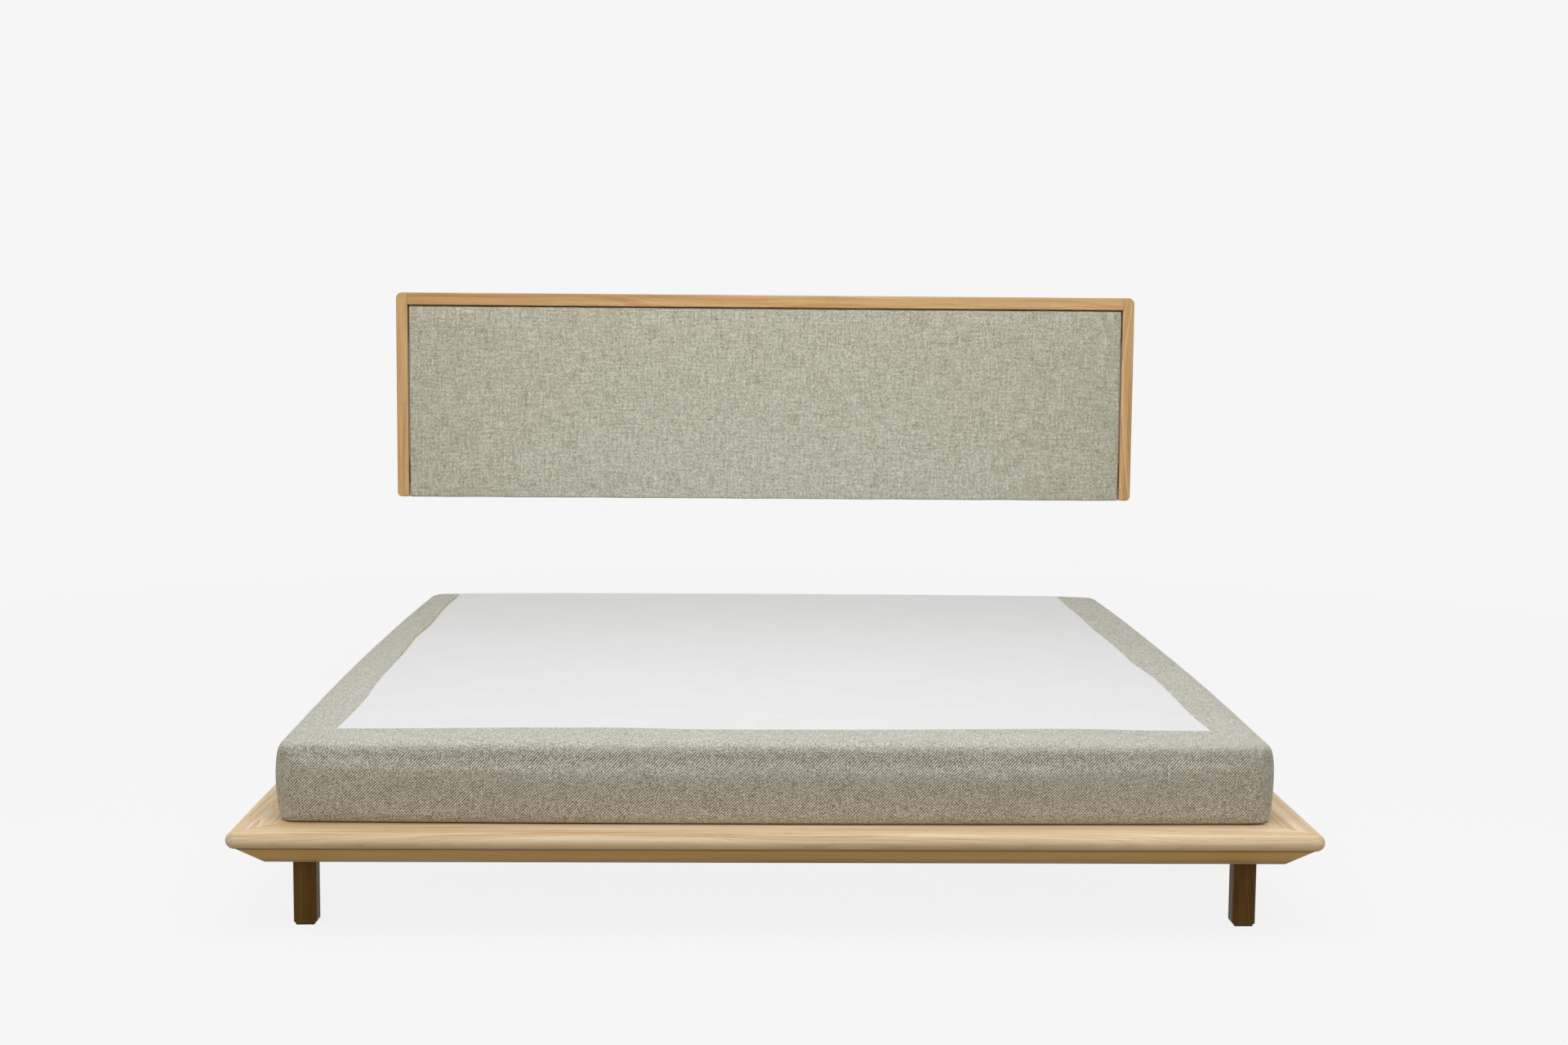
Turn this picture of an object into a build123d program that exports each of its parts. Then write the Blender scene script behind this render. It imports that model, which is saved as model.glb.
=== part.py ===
from build123d import *
import os

# A low platform bed. A mitred oak frame on short legs carries an upholstered
# spring base, and a separate upholstered headboard hangs on a rail on the wall.
# Sizes are in millimetres. X runs across the bed, Y from its foot to the wall
# and Z up from the floor. The origin is on the floor, midway across the bed and
# midway between the foot end and the wall.

os.makedirs("parts", exist_ok=True)

# Overall sizes
base_width = 1800
base_length = 2000
base_height = 150
side_overhang = 74
foot_overhang = 80
head_overhang = 80
wall_gap = 10
leg_height = 125
fit_clearance = 0.1

# Oak frame
rail_thickness = 65
rail_width = 140
nose_thickness = 30
nose_flat = 0.2
corner_radius = 18
bevel_inset = 58
arris_rounding = 3
tongue_length = 80
tongue_width = 44
tongue_thickness = 8
tongue_drop = 30
tongue_inset = 75
mitre_gap = 0.2

# Legs
leg_width = 42
leg_depth = 45
leg_side_inset = 102
leg_end_inset = 88
leg_rounding = 8
leg_foot_chamfer = 3
glide_thickness = 3
glide_margin = 4
glide_rounding = 5
insert_radius = 6
insert_depth = 18
bolt_radius = 4
bolt_in_leg = 50
bolt_in_rail = 16

# Slats, ledges and centre beam
slat_count = 10
slat_width = 110
slat_thickness = 20
slat_end_gap = 2
slat_rounding = 3
ledge_width = 30
ledge_height = 40
ledge_end_gap = 8
ledge_screw_count = 7
beam_width = 45
beam_height = 43
beam_end_gap = 1
shoe_thickness = 2
shoe_depth = 40
shoe_flange = 26
bracket_thickness = 3
bracket_leg = 60
bracket_height = 34
bracket_drop = 23
bracket_screw_near = 22
bracket_screw_far = 46

# Centre leg and its levelling foot
centre_leg_width = 45
centre_foot_travel_up = 6
stem_radius = 5
stem_in_leg = 40
stem_clearance = 0.08
stem_nut_radius = 9
stem_nut_height = 6
stem_pin_radius = 4
stem_pin_depth = 5
stem_insert_radius = 8
stem_insert_depth = 16
pad_radius = 20
pad_height = 9
pad_rounding = 2

# Wood screws
small_screw_radius = 2
small_screw_head_radius = 4
small_screw_head_height = 2.5
small_screw_length = 26
slat_screw_length = 36
ledge_screw_radius = 2.5
ledge_screw_head_radius = 5
ledge_screw_head_height = 3
ledge_screw_length = 60
panel_screw_length = 28

# Upholstered base
dust_cover_thickness = 1
dust_cover_inset = 20
cover_thickness = 2
cover_slack = 0.2
cover_flange = 30
base_corner_rounding = 26
base_top_rounding = 18
base_bottom_rounding = 8
base_crown = 4
side_bow = 6
foot_bow = 10
head_bow = 3
side_border = 95
foot_border = 130
head_border = 10
window_rounding = 6
panel_recess = 0.8
board_margin = 15
board_thickness = 21
board_height = 45
corner_block_leg = 55
base_slat_count = 9
base_slat_width = 100
base_slat_thickness = 12
edge_foam_width = 60
spring_height = 68
pockets_across = 16
pockets_along = 18
pocket_gap = 2
pocket_web = 4
felt_thickness = 4

# Headboard
headboard_width = 1990
headboard_height = 550
headboard_lift_off_floor = 593
headboard_depth = 45
stile_width = 30
top_rail_height = 33
stile_top_rounding = 16
stile_bottom_rounding = 12
headboard_arris = 3
panel_gap = 2.5
panel_drop = 2
panel_depth = 25
panel_setback = 1
panel_rounding = 8
panel_cover_thickness = 2
panel_flange = 30
backboard_thickness = 12
bumper_thickness = 3
bumper_radius = 10
bumper_end_inset = 40
cleat_height = 70
cleat_wall_clearance = 0.5
cleat_seat_clearance = 0.2
wall_cleat_length = 1700
wall_cleat_height = 80
wall_hole_radius = 3
outer_hole_spacing = 1400
inner_hole_spacing = 500
batten_height = 60
batten_above_edge = 36
dowel_radius = 4
dowel_in_stile = 18
dowel_in_rail = 22
dowel_spread = 20
panel_screw_count = 6

# Places that follow from the sizes above
frame_top = leg_height + rail_thickness
frame_width = base_width + 2 * side_overhang
frame_length = foot_overhang + base_length + head_overhang
total_length = frame_length + wall_gap
foot_y = -total_length / 2
head_y = foot_y + frame_length
wall_y = total_length / 2
frame_middle_y = (foot_y + head_y) / 2
base_middle_y = foot_y + foot_overhang + base_length / 2
half_frame = frame_width / 2
half_opening = half_frame - rail_width
opening_foot_y = foot_y + rail_width
opening_head_y = head_y - rail_width
opening_length = opening_head_y - opening_foot_y
slat_bottom = frame_top - slat_thickness
leg_x = half_frame - leg_side_inset - leg_width / 2
leg_foot_y = foot_y + leg_end_inset + leg_depth / 2
leg_head_y = head_y - leg_end_inset - leg_depth / 2
leg_places = {
    "front_left_leg": (-leg_x, leg_foot_y),
    "front_right_leg": (leg_x, leg_foot_y),
    "rear_left_leg": (-leg_x, leg_head_y),
    "rear_right_leg": (leg_x, leg_head_y),
}
corners = [
    (-1, foot_y, 1),
    (1, foot_y, 1),
    (-1, head_y, -1),
    (1, head_y, -1),
]
headboard_bottom = headboard_lift_off_floor
headboard_top = headboard_bottom + headboard_height
headboard_front_y = wall_y - headboard_depth
stile_back_y = wall_y - bumper_thickness
half_headboard = headboard_width / 2
half_between_stiles = half_headboard - stile_width
top_rail_bottom = headboard_top - top_rail_height
panel_back_y = headboard_front_y + panel_depth
panel_bottom = headboard_bottom - panel_drop
panel_top = top_rail_bottom - panel_gap
half_panel = half_between_stiles - panel_gap


def screw_form(radius, head_radius, head_height, length, clearance=0.0):
    """A countersunk wood screw, its head at the origin and its tip down."""
    tip = 2 * radius
    with BuildPart() as form:
        with BuildSketch(Plane.XZ):
            with BuildLine():
                Polyline(
                    (0, 0),
                    (head_radius + clearance, 0),
                    (radius + clearance, -head_height),
                    (radius + clearance, tip - length),
                    (0, -length - clearance),
                    close=True,
                )
            make_face()
        revolve(axis=Axis.Z)
    return form.part


def facing(points, direction):
    """Planes at the points, each with its normal along the direction."""
    return [Plane(origin=point, z_dir=direction) for point in points]


def small_screw(clearance=0.0):
    return screw_form(
        small_screw_radius,
        small_screw_head_radius,
        small_screw_head_height,
        small_screw_length,
        clearance,
    )


def slat_screw(clearance=0.0):
    return screw_form(
        small_screw_radius,
        small_screw_head_radius,
        small_screw_head_height,
        slat_screw_length,
        clearance,
    )


def ledge_screw(clearance=0.0):
    return screw_form(
        ledge_screw_radius,
        ledge_screw_head_radius,
        ledge_screw_head_height,
        ledge_screw_length,
        clearance,
    )


def panel_screw(clearance=0.0):
    return screw_form(
        small_screw_radius,
        small_screw_head_radius,
        small_screw_head_height,
        panel_screw_length,
        clearance,
    )


# Screw places in the oak frame
bracket_top = frame_top - bracket_drop
bracket_middle = bracket_top - bracket_height / 2
bracket_places = []
for side, end_y, inward in corners:
    inner_y = end_y + inward * rail_width
    for reach in (bracket_screw_near, bracket_screw_far):
        on_end_rail = (side * (half_opening - reach), inner_y + inward * bracket_thickness)
        on_side_rail = (side * (half_opening - bracket_thickness), inner_y + inward * reach)
        bracket_places += facing([(*on_end_rail, bracket_middle)], (0, inward, 0))
        bracket_places += facing([(*on_side_rail, bracket_middle)], (-side, 0, 0))

shoe_bottom = slat_bottom - beam_height - shoe_thickness
shoe_half_width = beam_width / 2 + shoe_thickness
shoe_screw_x = shoe_half_width + shoe_flange / 2
shoe_screw_heights = (
    shoe_bottom + beam_height / 4,
    shoe_bottom + beam_height * 3 / 4,
)
shoe_places = []
for rail_face_y, inward in ((opening_foot_y, 1), (opening_head_y, -1)):
    for side in (-1, 1):
        for height in shoe_screw_heights:
            point = (side * shoe_screw_x, rail_face_y + inward * shoe_thickness, height)
            shoe_places += facing([point], (0, inward, 0))

ledge_foot_y = opening_foot_y + bracket_leg + ledge_end_gap
ledge_head_y = opening_head_y - bracket_leg - ledge_end_gap
ledge_length = ledge_head_y - ledge_foot_y
ledge_middle_height = slat_bottom - ledge_height / 2
ledge_pitch = ledge_length / ledge_screw_count
ledge_places = []
for side in (-1, 1):
    for number in range(ledge_screw_count):
        along = ledge_foot_y + (number + 0.5) * ledge_pitch
        point = (side * (half_opening - ledge_width), along, ledge_middle_height)
        ledge_places += facing([point], (-side, 0, 0))


# Mitred ring that the four rails are cut from
nose_bottom = frame_top - nose_thickness
nose_rounding = (nose_thickness - nose_flat) / 2
bevel_corner = corner_radius - nose_rounding

with BuildPart() as frame_ring:
    with BuildSketch(Plane.XY.offset(nose_bottom)):
        with Locations((0, frame_middle_y)):
            RectangleRounded(frame_width, frame_length, corner_radius)
    extrude(amount=nose_thickness)
    fillet(frame_ring.faces().filter_by(Axis.Z).edges(), nose_rounding)
    with BuildSketch(Plane.XY.offset(leg_height)):
        with Locations((0, frame_middle_y)):
            RectangleRounded(
                frame_width - 2 * bevel_inset,
                frame_length - 2 * bevel_inset,
                bevel_corner,
            )
    with BuildSketch(Plane.XY.offset(nose_bottom)):
        with Locations((0, frame_middle_y)):
            RectangleRounded(
                frame_width - 2 * nose_rounding,
                frame_length - 2 * nose_rounding,
                bevel_corner,
            )
    loft()
    fillet(frame_ring.faces().sort_by(Axis.Z)[0].edges(), arris_rounding)
    with BuildSketch(Plane.XY.offset(leg_height)):
        with Locations((0, frame_middle_y)):
            Rectangle(2 * half_opening, opening_length)
    extrude(amount=rail_thickness, mode=Mode.SUBTRACT)
    for side, end_y, inward in corners:
        turn = -45 * side * inward
        tongue_at = (
            side * (half_frame - tongue_inset),
            end_y + inward * tongue_inset,
            frame_top - tongue_drop,
        )
        with Locations(Location(tongue_at, (0, 0, turn))):
            Box(
                tongue_length + 2 * fit_clearance,
                tongue_width + 2 * fit_clearance,
                tongue_thickness + 2 * fit_clearance,
                mode=Mode.SUBTRACT,
            )
    with Locations(*[(x, y, leg_height) for x, y in leg_places.values()]):
        Cylinder(
            insert_radius + fit_clearance,
            insert_depth + fit_clearance,
            align=(Align.CENTER, Align.CENTER, Align.MIN),
            mode=Mode.SUBTRACT,
        )
    with Locations(*bracket_places, *shoe_places):
        add(small_screw(fit_clearance), mode=Mode.SUBTRACT)
    with Locations(*ledge_places):
        add(ledge_screw(fit_clearance), mode=Mode.SUBTRACT)


def mitred_rail(outer_start, outer_end, inner_end, inner_start):
    """One rail, cut out of the ring between its two mitres."""
    with BuildPart() as rail:
        add(frame_ring.part)
        with BuildSketch(Plane.XY.offset(leg_height)):
            with BuildLine():
                Polyline(outer_start, outer_end, inner_end, inner_start, close=True)
            make_face()
            offset(amount=-mitre_gap / 2, kind=Kind.INTERSECTION)
        extrude(amount=rail_thickness, mode=Mode.INTERSECT)
    return rail


# Points on the four mitre lines, beyond the frame's edge and inside its opening,
# counted from the left of the foot
mitre_margin = rail_width / 4
outer_corners = [
    (-half_frame - mitre_margin, foot_y - mitre_margin),
    (half_frame + mitre_margin, foot_y - mitre_margin),
    (half_frame + mitre_margin, head_y + mitre_margin),
    (-half_frame - mitre_margin, head_y + mitre_margin),
]
inner_corners = [
    (-half_opening + mitre_margin, opening_foot_y + mitre_margin),
    (half_opening - mitre_margin, opening_foot_y + mitre_margin),
    (half_opening - mitre_margin, opening_head_y - mitre_margin),
    (-half_opening + mitre_margin, opening_head_y - mitre_margin),
]
for number, name in enumerate(("foot_rail", "right_rail", "head_rail", "left_rail")):
    following = (number + 1) % len(outer_corners)
    rail = mitred_rail(
        outer_corners[number],
        outer_corners[following],
        inner_corners[following],
        inner_corners[number],
    )
    rail.part.label = name
    export_step(rail.part, f"parts/{name}.step")


# Loose tongues in the mitres
with BuildPart() as mitre_tongues:
    for side, end_y, inward in corners:
        turn = -45 * side * inward
        tongue_at = (
            side * (half_frame - tongue_inset),
            end_y + inward * tongue_inset,
            frame_top - tongue_drop,
        )
        with Locations(Location(tongue_at, (0, 0, turn))):
            Box(tongue_length, tongue_width, tongue_thickness)
mitre_tongues.part.label = "mitre_tongues"
export_step(mitre_tongues.part, "parts/mitre_tongues.step")


# Steel angles in the inner corners
with BuildPart() as corner_brackets:
    for side, end_y, inward in corners:
        inner_y = end_y + inward * rail_width
        with BuildSketch(Plane.XY.offset(bracket_top - bracket_height)):
            with BuildLine():
                Polyline(
                    (side * half_opening, inner_y),
                    (side * (half_opening - bracket_leg), inner_y),
                    (side * (half_opening - bracket_leg), inner_y + inward * bracket_thickness),
                    (
                        side * (half_opening - bracket_thickness),
                        inner_y + inward * bracket_thickness,
                    ),
                    (side * (half_opening - bracket_thickness), inner_y + inward * bracket_leg),
                    (side * half_opening, inner_y + inward * bracket_leg),
                    close=True,
                )
            make_face()
        extrude(amount=bracket_height)
    with Locations(*bracket_places):
        add(small_screw(fit_clearance), mode=Mode.SUBTRACT)
corner_brackets.part.label = "corner_brackets"
export_step(corner_brackets.part, "parts/corner_brackets.step")


# Screws of the corner brackets and beam shoes
with BuildPart() as bracket_screws:
    with Locations(*bracket_places, *shoe_places):
        add(small_screw())
bracket_screws.part.label = "bracket_screws"
export_step(bracket_screws.part, "parts/bracket_screws.step")


# Slat places and their screws, one over each ledge and one over the beam
slat_pitch = opening_length / slat_count
slat_middles = [opening_foot_y + (number + 0.5) * slat_pitch for number in range(slat_count)]
ledge_middle_x = half_opening - ledge_width / 2
slat_places = [
    Plane(origin=(x, y, frame_top), z_dir=(0, 0, 1))
    for y in slat_middles
    for x in (-ledge_middle_x, 0, ledge_middle_x)
]

# Pine ledges along the side rails
for name, side in (("left_ledge", -1), ("right_ledge", 1)):
    with BuildPart() as ledge:
        with BuildSketch(Plane.XY.offset(slat_bottom - ledge_height)):
            with Locations((side * ledge_middle_x, frame_middle_y)):
                Rectangle(ledge_width, ledge_length)
        extrude(amount=ledge_height)
        with Locations(*ledge_places):
            add(ledge_screw(fit_clearance), mode=Mode.SUBTRACT)
        with Locations(*slat_places):
            add(slat_screw(fit_clearance), mode=Mode.SUBTRACT)
    ledge.part.label = name
    export_step(ledge.part, f"parts/{name}.step")

with BuildPart() as ledge_screws:
    with Locations(*ledge_places):
        add(ledge_screw())
ledge_screws.part.label = "ledge_screws"
export_step(ledge_screws.part, "parts/ledge_screws.step")


# Centre beam, held at both ends in steel shoes
beam_bottom = slat_bottom - beam_height
beam_length = opening_length - 2 * (shoe_thickness + beam_end_gap)
with BuildPart() as centre_beam:
    with BuildSketch(Plane.XY.offset(beam_bottom)):
        with Locations((0, frame_middle_y)):
            Rectangle(beam_width, beam_length)
    extrude(amount=beam_height)
    with Locations(*slat_places):
        add(slat_screw(fit_clearance), mode=Mode.SUBTRACT)
    with Locations((0, frame_middle_y, beam_bottom)):
        Cylinder(
            insert_radius + fit_clearance,
            insert_depth + fit_clearance,
            align=(Align.CENTER, Align.CENTER, Align.MIN),
            mode=Mode.SUBTRACT,
        )
centre_beam.part.label = "centre_beam"
export_step(centre_beam.part, "parts/centre_beam.step")

with BuildPart() as beam_shoes:
    for rail_face_y, inward in ((opening_foot_y, 1), (opening_head_y, -1)):
        shoe_far_y = rail_face_y + inward * shoe_depth
        plate_y = rail_face_y + inward * shoe_thickness / 2
        with BuildSketch(Plane.XY.offset(shoe_bottom)):
            with Locations((0, plate_y)):
                Rectangle(2 * (shoe_half_width + shoe_flange), shoe_thickness)
            for side in (-1, 1):
                cheek_x = side * (beam_width / 2 + shoe_thickness / 2)
                with Locations((cheek_x, (rail_face_y + shoe_far_y) / 2)):
                    Rectangle(shoe_thickness, shoe_depth)
        extrude(amount=beam_height)
        with BuildSketch(Plane.XY.offset(shoe_bottom)):
            with Locations((0, (rail_face_y + shoe_far_y) / 2)):
                Rectangle(2 * shoe_half_width, shoe_depth)
        extrude(amount=shoe_thickness)
    with Locations(*shoe_places):
        add(small_screw(fit_clearance), mode=Mode.SUBTRACT)
beam_shoes.part.label = "beam_shoes"
export_step(beam_shoes.part, "parts/beam_shoes.step")


# Pine slats across the opening
for number, slat_y in enumerate(slat_middles, start=1):
    name = f"slat_{number:02d}"
    with BuildPart() as slat:
        with BuildSketch(Plane.XY.offset(slat_bottom)):
            with Locations((0, slat_y)):
                Rectangle(2 * (half_opening - slat_end_gap), slat_width)
        extrude(amount=slat_thickness)
        fillet(slat.edges().filter_by(Axis.X), slat_rounding)
        with Locations(*slat_places):
            add(slat_screw(fit_clearance), mode=Mode.SUBTRACT)
    slat.part.label = name
    export_step(slat.part, f"parts/{name}.step")

with BuildPart() as slat_screws:
    with Locations(*slat_places):
        add(slat_screw())
slat_screws.part.label = "slat_screws"
export_step(slat_screws.part, "parts/slat_screws.step")


# Four oak legs, screwed up into the rails with hanger bolts
for name, (x, y) in leg_places.items():
    with BuildPart() as leg:
        with BuildSketch(Plane.XY.offset(glide_thickness)):
            with Locations((x, y)):
                RectangleRounded(leg_width, leg_depth, leg_rounding)
        extrude(amount=leg_height - glide_thickness)
        chamfer(leg.faces().sort_by(Axis.Z)[0].edges(), leg_foot_chamfer)
        with Locations((x, y, leg_height)):
            Cylinder(
                bolt_radius + fit_clearance,
                bolt_in_leg + fit_clearance,
                align=(Align.CENTER, Align.CENTER, Align.MAX),
                mode=Mode.SUBTRACT,
            )
    leg.part.label = name
    export_step(leg.part, f"parts/{name}.step")

with BuildPart() as leg_glides:
    for x, y in leg_places.values():
        with BuildSketch():
            with Locations((x, y)):
                RectangleRounded(
                    leg_width - 2 * glide_margin,
                    leg_depth - 2 * glide_margin,
                    glide_rounding,
                )
        extrude(amount=glide_thickness)
leg_glides.part.label = "leg_glides"
export_step(leg_glides.part, "parts/leg_glides.step")


# Centre leg under the beam, hung from the same kind of bolt, over a levelling foot
nut_bottom = pad_height
nut_top = nut_bottom + stem_nut_height
centre_leg_bottom = nut_top + centre_foot_travel_up
stem_top = centre_leg_bottom + stem_in_leg
stem_room_top = stem_top + centre_foot_travel_up + fit_clearance
centre_bolt_in_leg = (beam_bottom - stem_room_top) / 2
with BuildPart() as centre_leg:
    with BuildSketch(Plane.XY.offset(centre_leg_bottom)):
        with Locations((0, frame_middle_y)):
            RectangleRounded(centre_leg_width, centre_leg_width, leg_rounding)
    extrude(amount=beam_bottom - centre_leg_bottom)
    with Locations((0, frame_middle_y, beam_bottom)):
        Cylinder(
            bolt_radius + fit_clearance,
            centre_bolt_in_leg + fit_clearance,
            align=(Align.CENTER, Align.CENTER, Align.MAX),
            mode=Mode.SUBTRACT,
        )
    with Locations((0, frame_middle_y, centre_leg_bottom)):
        Cylinder(
            stem_insert_radius + fit_clearance,
            stem_insert_depth + fit_clearance,
            align=(Align.CENTER, Align.CENTER, Align.MIN),
            mode=Mode.SUBTRACT,
        )
        Cylinder(
            stem_radius + fit_clearance,
            stem_room_top - centre_leg_bottom,
            align=(Align.CENTER, Align.CENTER, Align.MIN),
            mode=Mode.SUBTRACT,
        )
centre_leg.part.label = "centre_leg"
export_step(centre_leg.part, "parts/centre_leg.step")

with BuildPart() as centre_foot_stem:
    with Locations((0, frame_middle_y, nut_bottom)):
        Cylinder(
            stem_radius,
            stem_top - nut_bottom,
            align=(Align.CENTER, Align.CENTER, Align.MIN),
        )
        Cylinder(
            stem_pin_radius,
            stem_pin_depth - fit_clearance,
            align=(Align.CENTER, Align.CENTER, Align.MAX),
        )
    with BuildSketch(Plane.XY.offset(nut_bottom)):
        with Locations((0, frame_middle_y)):
            RegularPolygon(stem_nut_radius, 6)
    extrude(amount=stem_nut_height)
centre_foot_stem.part.label = "centre_foot_stem"
export_step(centre_foot_stem.part, "parts/centre_foot_stem.step")

with BuildPart() as centre_foot_pad:
    with Locations((0, frame_middle_y)):
        Cylinder(pad_radius, pad_height, align=(Align.CENTER, Align.CENTER, Align.MIN))
    fillet(centre_foot_pad.faces().sort_by(Axis.Z)[-1].edges(), pad_rounding)
    with Locations((0, frame_middle_y, pad_height)):
        Cylinder(
            stem_pin_radius + stem_clearance,
            stem_pin_depth,
            align=(Align.CENTER, Align.CENTER, Align.MAX),
            mode=Mode.SUBTRACT,
        )
centre_foot_pad.part.label = "centre_foot_pad"
export_step(centre_foot_pad.part, "parts/centre_foot_pad.step")


# Threaded inserts and hanger bolts of all five legs, and the insert the foot turns in
bolt_tops = [(x, y, leg_height) for x, y in leg_places.values()]
with BuildPart() as leg_inserts:
    with Locations(*bolt_tops, (0, frame_middle_y, beam_bottom)):
        Cylinder(
            insert_radius,
            insert_depth,
            align=(Align.CENTER, Align.CENTER, Align.MIN),
        )
        Cylinder(
            bolt_radius + fit_clearance,
            insert_depth,
            align=(Align.CENTER, Align.CENTER, Align.MIN),
            mode=Mode.SUBTRACT,
        )
    with Locations((0, frame_middle_y, centre_leg_bottom)):
        Cylinder(
            stem_insert_radius,
            stem_insert_depth,
            align=(Align.CENTER, Align.CENTER, Align.MIN),
        )
        Cylinder(
            stem_radius + stem_clearance,
            stem_insert_depth,
            align=(Align.CENTER, Align.CENTER, Align.MIN),
            mode=Mode.SUBTRACT,
        )
leg_inserts.part.label = "leg_inserts"
export_step(leg_inserts.part, "parts/leg_inserts.step")

with BuildPart() as leg_bolts:
    with Locations(*[(x, y, z - bolt_in_leg) for x, y, z in bolt_tops]):
        Cylinder(
            bolt_radius,
            bolt_in_leg + bolt_in_rail,
            align=(Align.CENTER, Align.CENTER, Align.MIN),
        )
    with Locations((0, frame_middle_y, beam_bottom - centre_bolt_in_leg)):
        Cylinder(
            bolt_radius,
            centre_bolt_in_leg + bolt_in_rail,
            align=(Align.CENTER, Align.CENTER, Align.MIN),
        )
leg_bolts.part.label = "leg_bolts"
export_step(leg_bolts.part, "parts/leg_bolts.step")


# Upholstered base, from its underside up
cover_bottom = frame_top + dust_cover_thickness
base_top = frame_top + base_height
board_bottom = cover_bottom + cover_thickness
board_top = board_bottom + board_height
base_slat_top = board_top + base_slat_thickness
spring_top = base_slat_top + spring_height
felt_top = spring_top + felt_thickness
base_foot_y = base_middle_y - base_length / 2
base_head_y = base_middle_y + base_length / 2
board_outer_width = base_width - 2 * board_margin
board_outer_length = base_length - 2 * board_margin
spring_field_width = board_outer_width - 2 * edge_foam_width
spring_field_length = board_outer_length - 2 * edge_foam_width
window_width = base_width - 2 * side_border
window_foot_y = base_foot_y + foot_border
window_head_y = base_head_y - head_border


def base_form(inset):
    """The upholstered shape drawn in by an inset: bowed sides, crowned top, soft edges."""
    half_width = base_width / 2 - inset
    near_y = base_foot_y + inset
    far_y = base_head_y - inset
    bottom = cover_bottom + inset
    top = base_top - inset
    reach = base_width + base_length
    with BuildPart() as form:
        with BuildSketch(Plane.XY.offset(bottom)) as outline:
            with BuildLine():
                ThreePointArc(
                    (-half_width, near_y),
                    (0, near_y - foot_bow),
                    (half_width, near_y),
                )
                ThreePointArc(
                    (half_width, near_y),
                    (half_width + side_bow, base_middle_y),
                    (half_width, far_y),
                )
                ThreePointArc(
                    (half_width, far_y),
                    (0, far_y + head_bow),
                    (-half_width, far_y),
                )
                ThreePointArc(
                    (-half_width, far_y),
                    (-half_width - side_bow, base_middle_y),
                    (-half_width, near_y),
                )
            make_face()
            fillet(outline.vertices(), base_corner_rounding - inset)
        extrude(amount=top - bottom)
        with BuildSketch(Plane.XZ.offset(-base_middle_y)):
            with BuildLine():
                Polyline(
                    (-base_width, top - base_crown),
                    (-base_width, bottom),
                    (base_width, bottom),
                    (base_width, top - base_crown),
                    (half_width, top - base_crown),
                )
                ThreePointArc(
                    (half_width, top - base_crown),
                    (0, top),
                    (-half_width, top - base_crown),
                )
                Line((-half_width, top - base_crown), (-base_width, top - base_crown))
            make_face()
        extrude(amount=reach, both=True, mode=Mode.INTERSECT)
        fillet(form.faces().sort_by(Axis.Z)[0].edges(), base_bottom_rounding - inset)
        fillet(form.edges().group_by(Axis.Z)[-1], base_top_rounding - inset)
    return form.part


base_core = base_form(cover_thickness)
cover_inside = base_form(cover_thickness - cover_slack)

board_places = {
    "base_left_board": (-1, 0),
    "base_right_board": (1, 0),
    "base_foot_board": (0, -1),
    "base_head_board": (0, 1),
}
for name, (side, end) in board_places.items():
    board_x = side * (board_outer_width - board_thickness) / 2
    board_y = base_middle_y + end * (board_outer_length - board_thickness) / 2
    with BuildPart() as board:
        with BuildSketch(Plane.XY.offset(board_bottom)):
            with Locations((board_x, board_y)):
                if side:
                    Rectangle(board_thickness, board_outer_length)
                else:
                    Rectangle(board_outer_width - 2 * board_thickness, board_thickness)
        extrude(amount=board_height)
    board.part.label = name
    export_step(board.part, f"parts/{name}.step")

with BuildPart() as base_corner_blocks:
    for side in (-1, 1):
        for end in (-1, 1):
            block_x = side * (board_outer_width / 2 - board_thickness)
            block_y = base_middle_y + end * (board_outer_length / 2 - board_thickness)
            with BuildSketch(Plane.XY.offset(board_bottom)):
                with BuildLine():
                    Polyline(
                        (block_x, block_y),
                        (block_x - side * corner_block_leg, block_y),
                        (block_x, block_y - end * corner_block_leg),
                        close=True,
                    )
                make_face()
            extrude(amount=board_height)
base_corner_blocks.part.label = "base_corner_blocks"
export_step(base_corner_blocks.part, "parts/base_corner_blocks.step")

base_slat_pitch = (board_outer_length - base_slat_width) / (base_slat_count - 1)
with BuildPart() as base_slats:
    with BuildSketch(Plane.XY.offset(board_top)):
        with Locations((0, base_middle_y)):
            with GridLocations(0, base_slat_pitch, 1, base_slat_count):
                Rectangle(board_outer_width, base_slat_width)
    extrude(amount=base_slat_thickness)
base_slats.part.label = "base_slats"
export_step(base_slats.part, "parts/base_slats.step")


def core_layer(bottom, top, hole_width, hole_length):
    """A layer of the core between two heights, with a rectangular hole through it."""
    with BuildPart() as layer:
        add(base_core)
        with BuildSketch(Plane.XY.offset(bottom)):
            with Locations((0, base_middle_y)):
                Rectangle(2 * base_width, 2 * base_length)
        extrude(amount=top - bottom, mode=Mode.INTERSECT)
        if hole_width:
            with BuildSketch(Plane.XY.offset(bottom)):
                with Locations((0, base_middle_y)):
                    Rectangle(hole_width, hole_length)
            extrude(amount=top - bottom, mode=Mode.SUBTRACT)
    return layer


side_padding = core_layer(board_bottom, base_slat_top, board_outer_width, board_outer_length)
side_padding.part.label = "side_padding"
export_step(side_padding.part, "parts/side_padding.step")

edge_foam = core_layer(base_slat_top, spring_top, spring_field_width, spring_field_length)
edge_foam.part.label = "edge_foam"
export_step(edge_foam.part, "parts/edge_foam.step")

felt_pad = core_layer(spring_top, felt_top, 0, 0)
felt_pad.part.label = "felt_pad"
export_step(felt_pad.part, "parts/felt_pad.step")

comfort_foam = core_layer(felt_top, base_top, 0, 0)
comfort_foam.part.label = "comfort_foam"
export_step(comfort_foam.part, "parts/comfort_foam.step")

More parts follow.
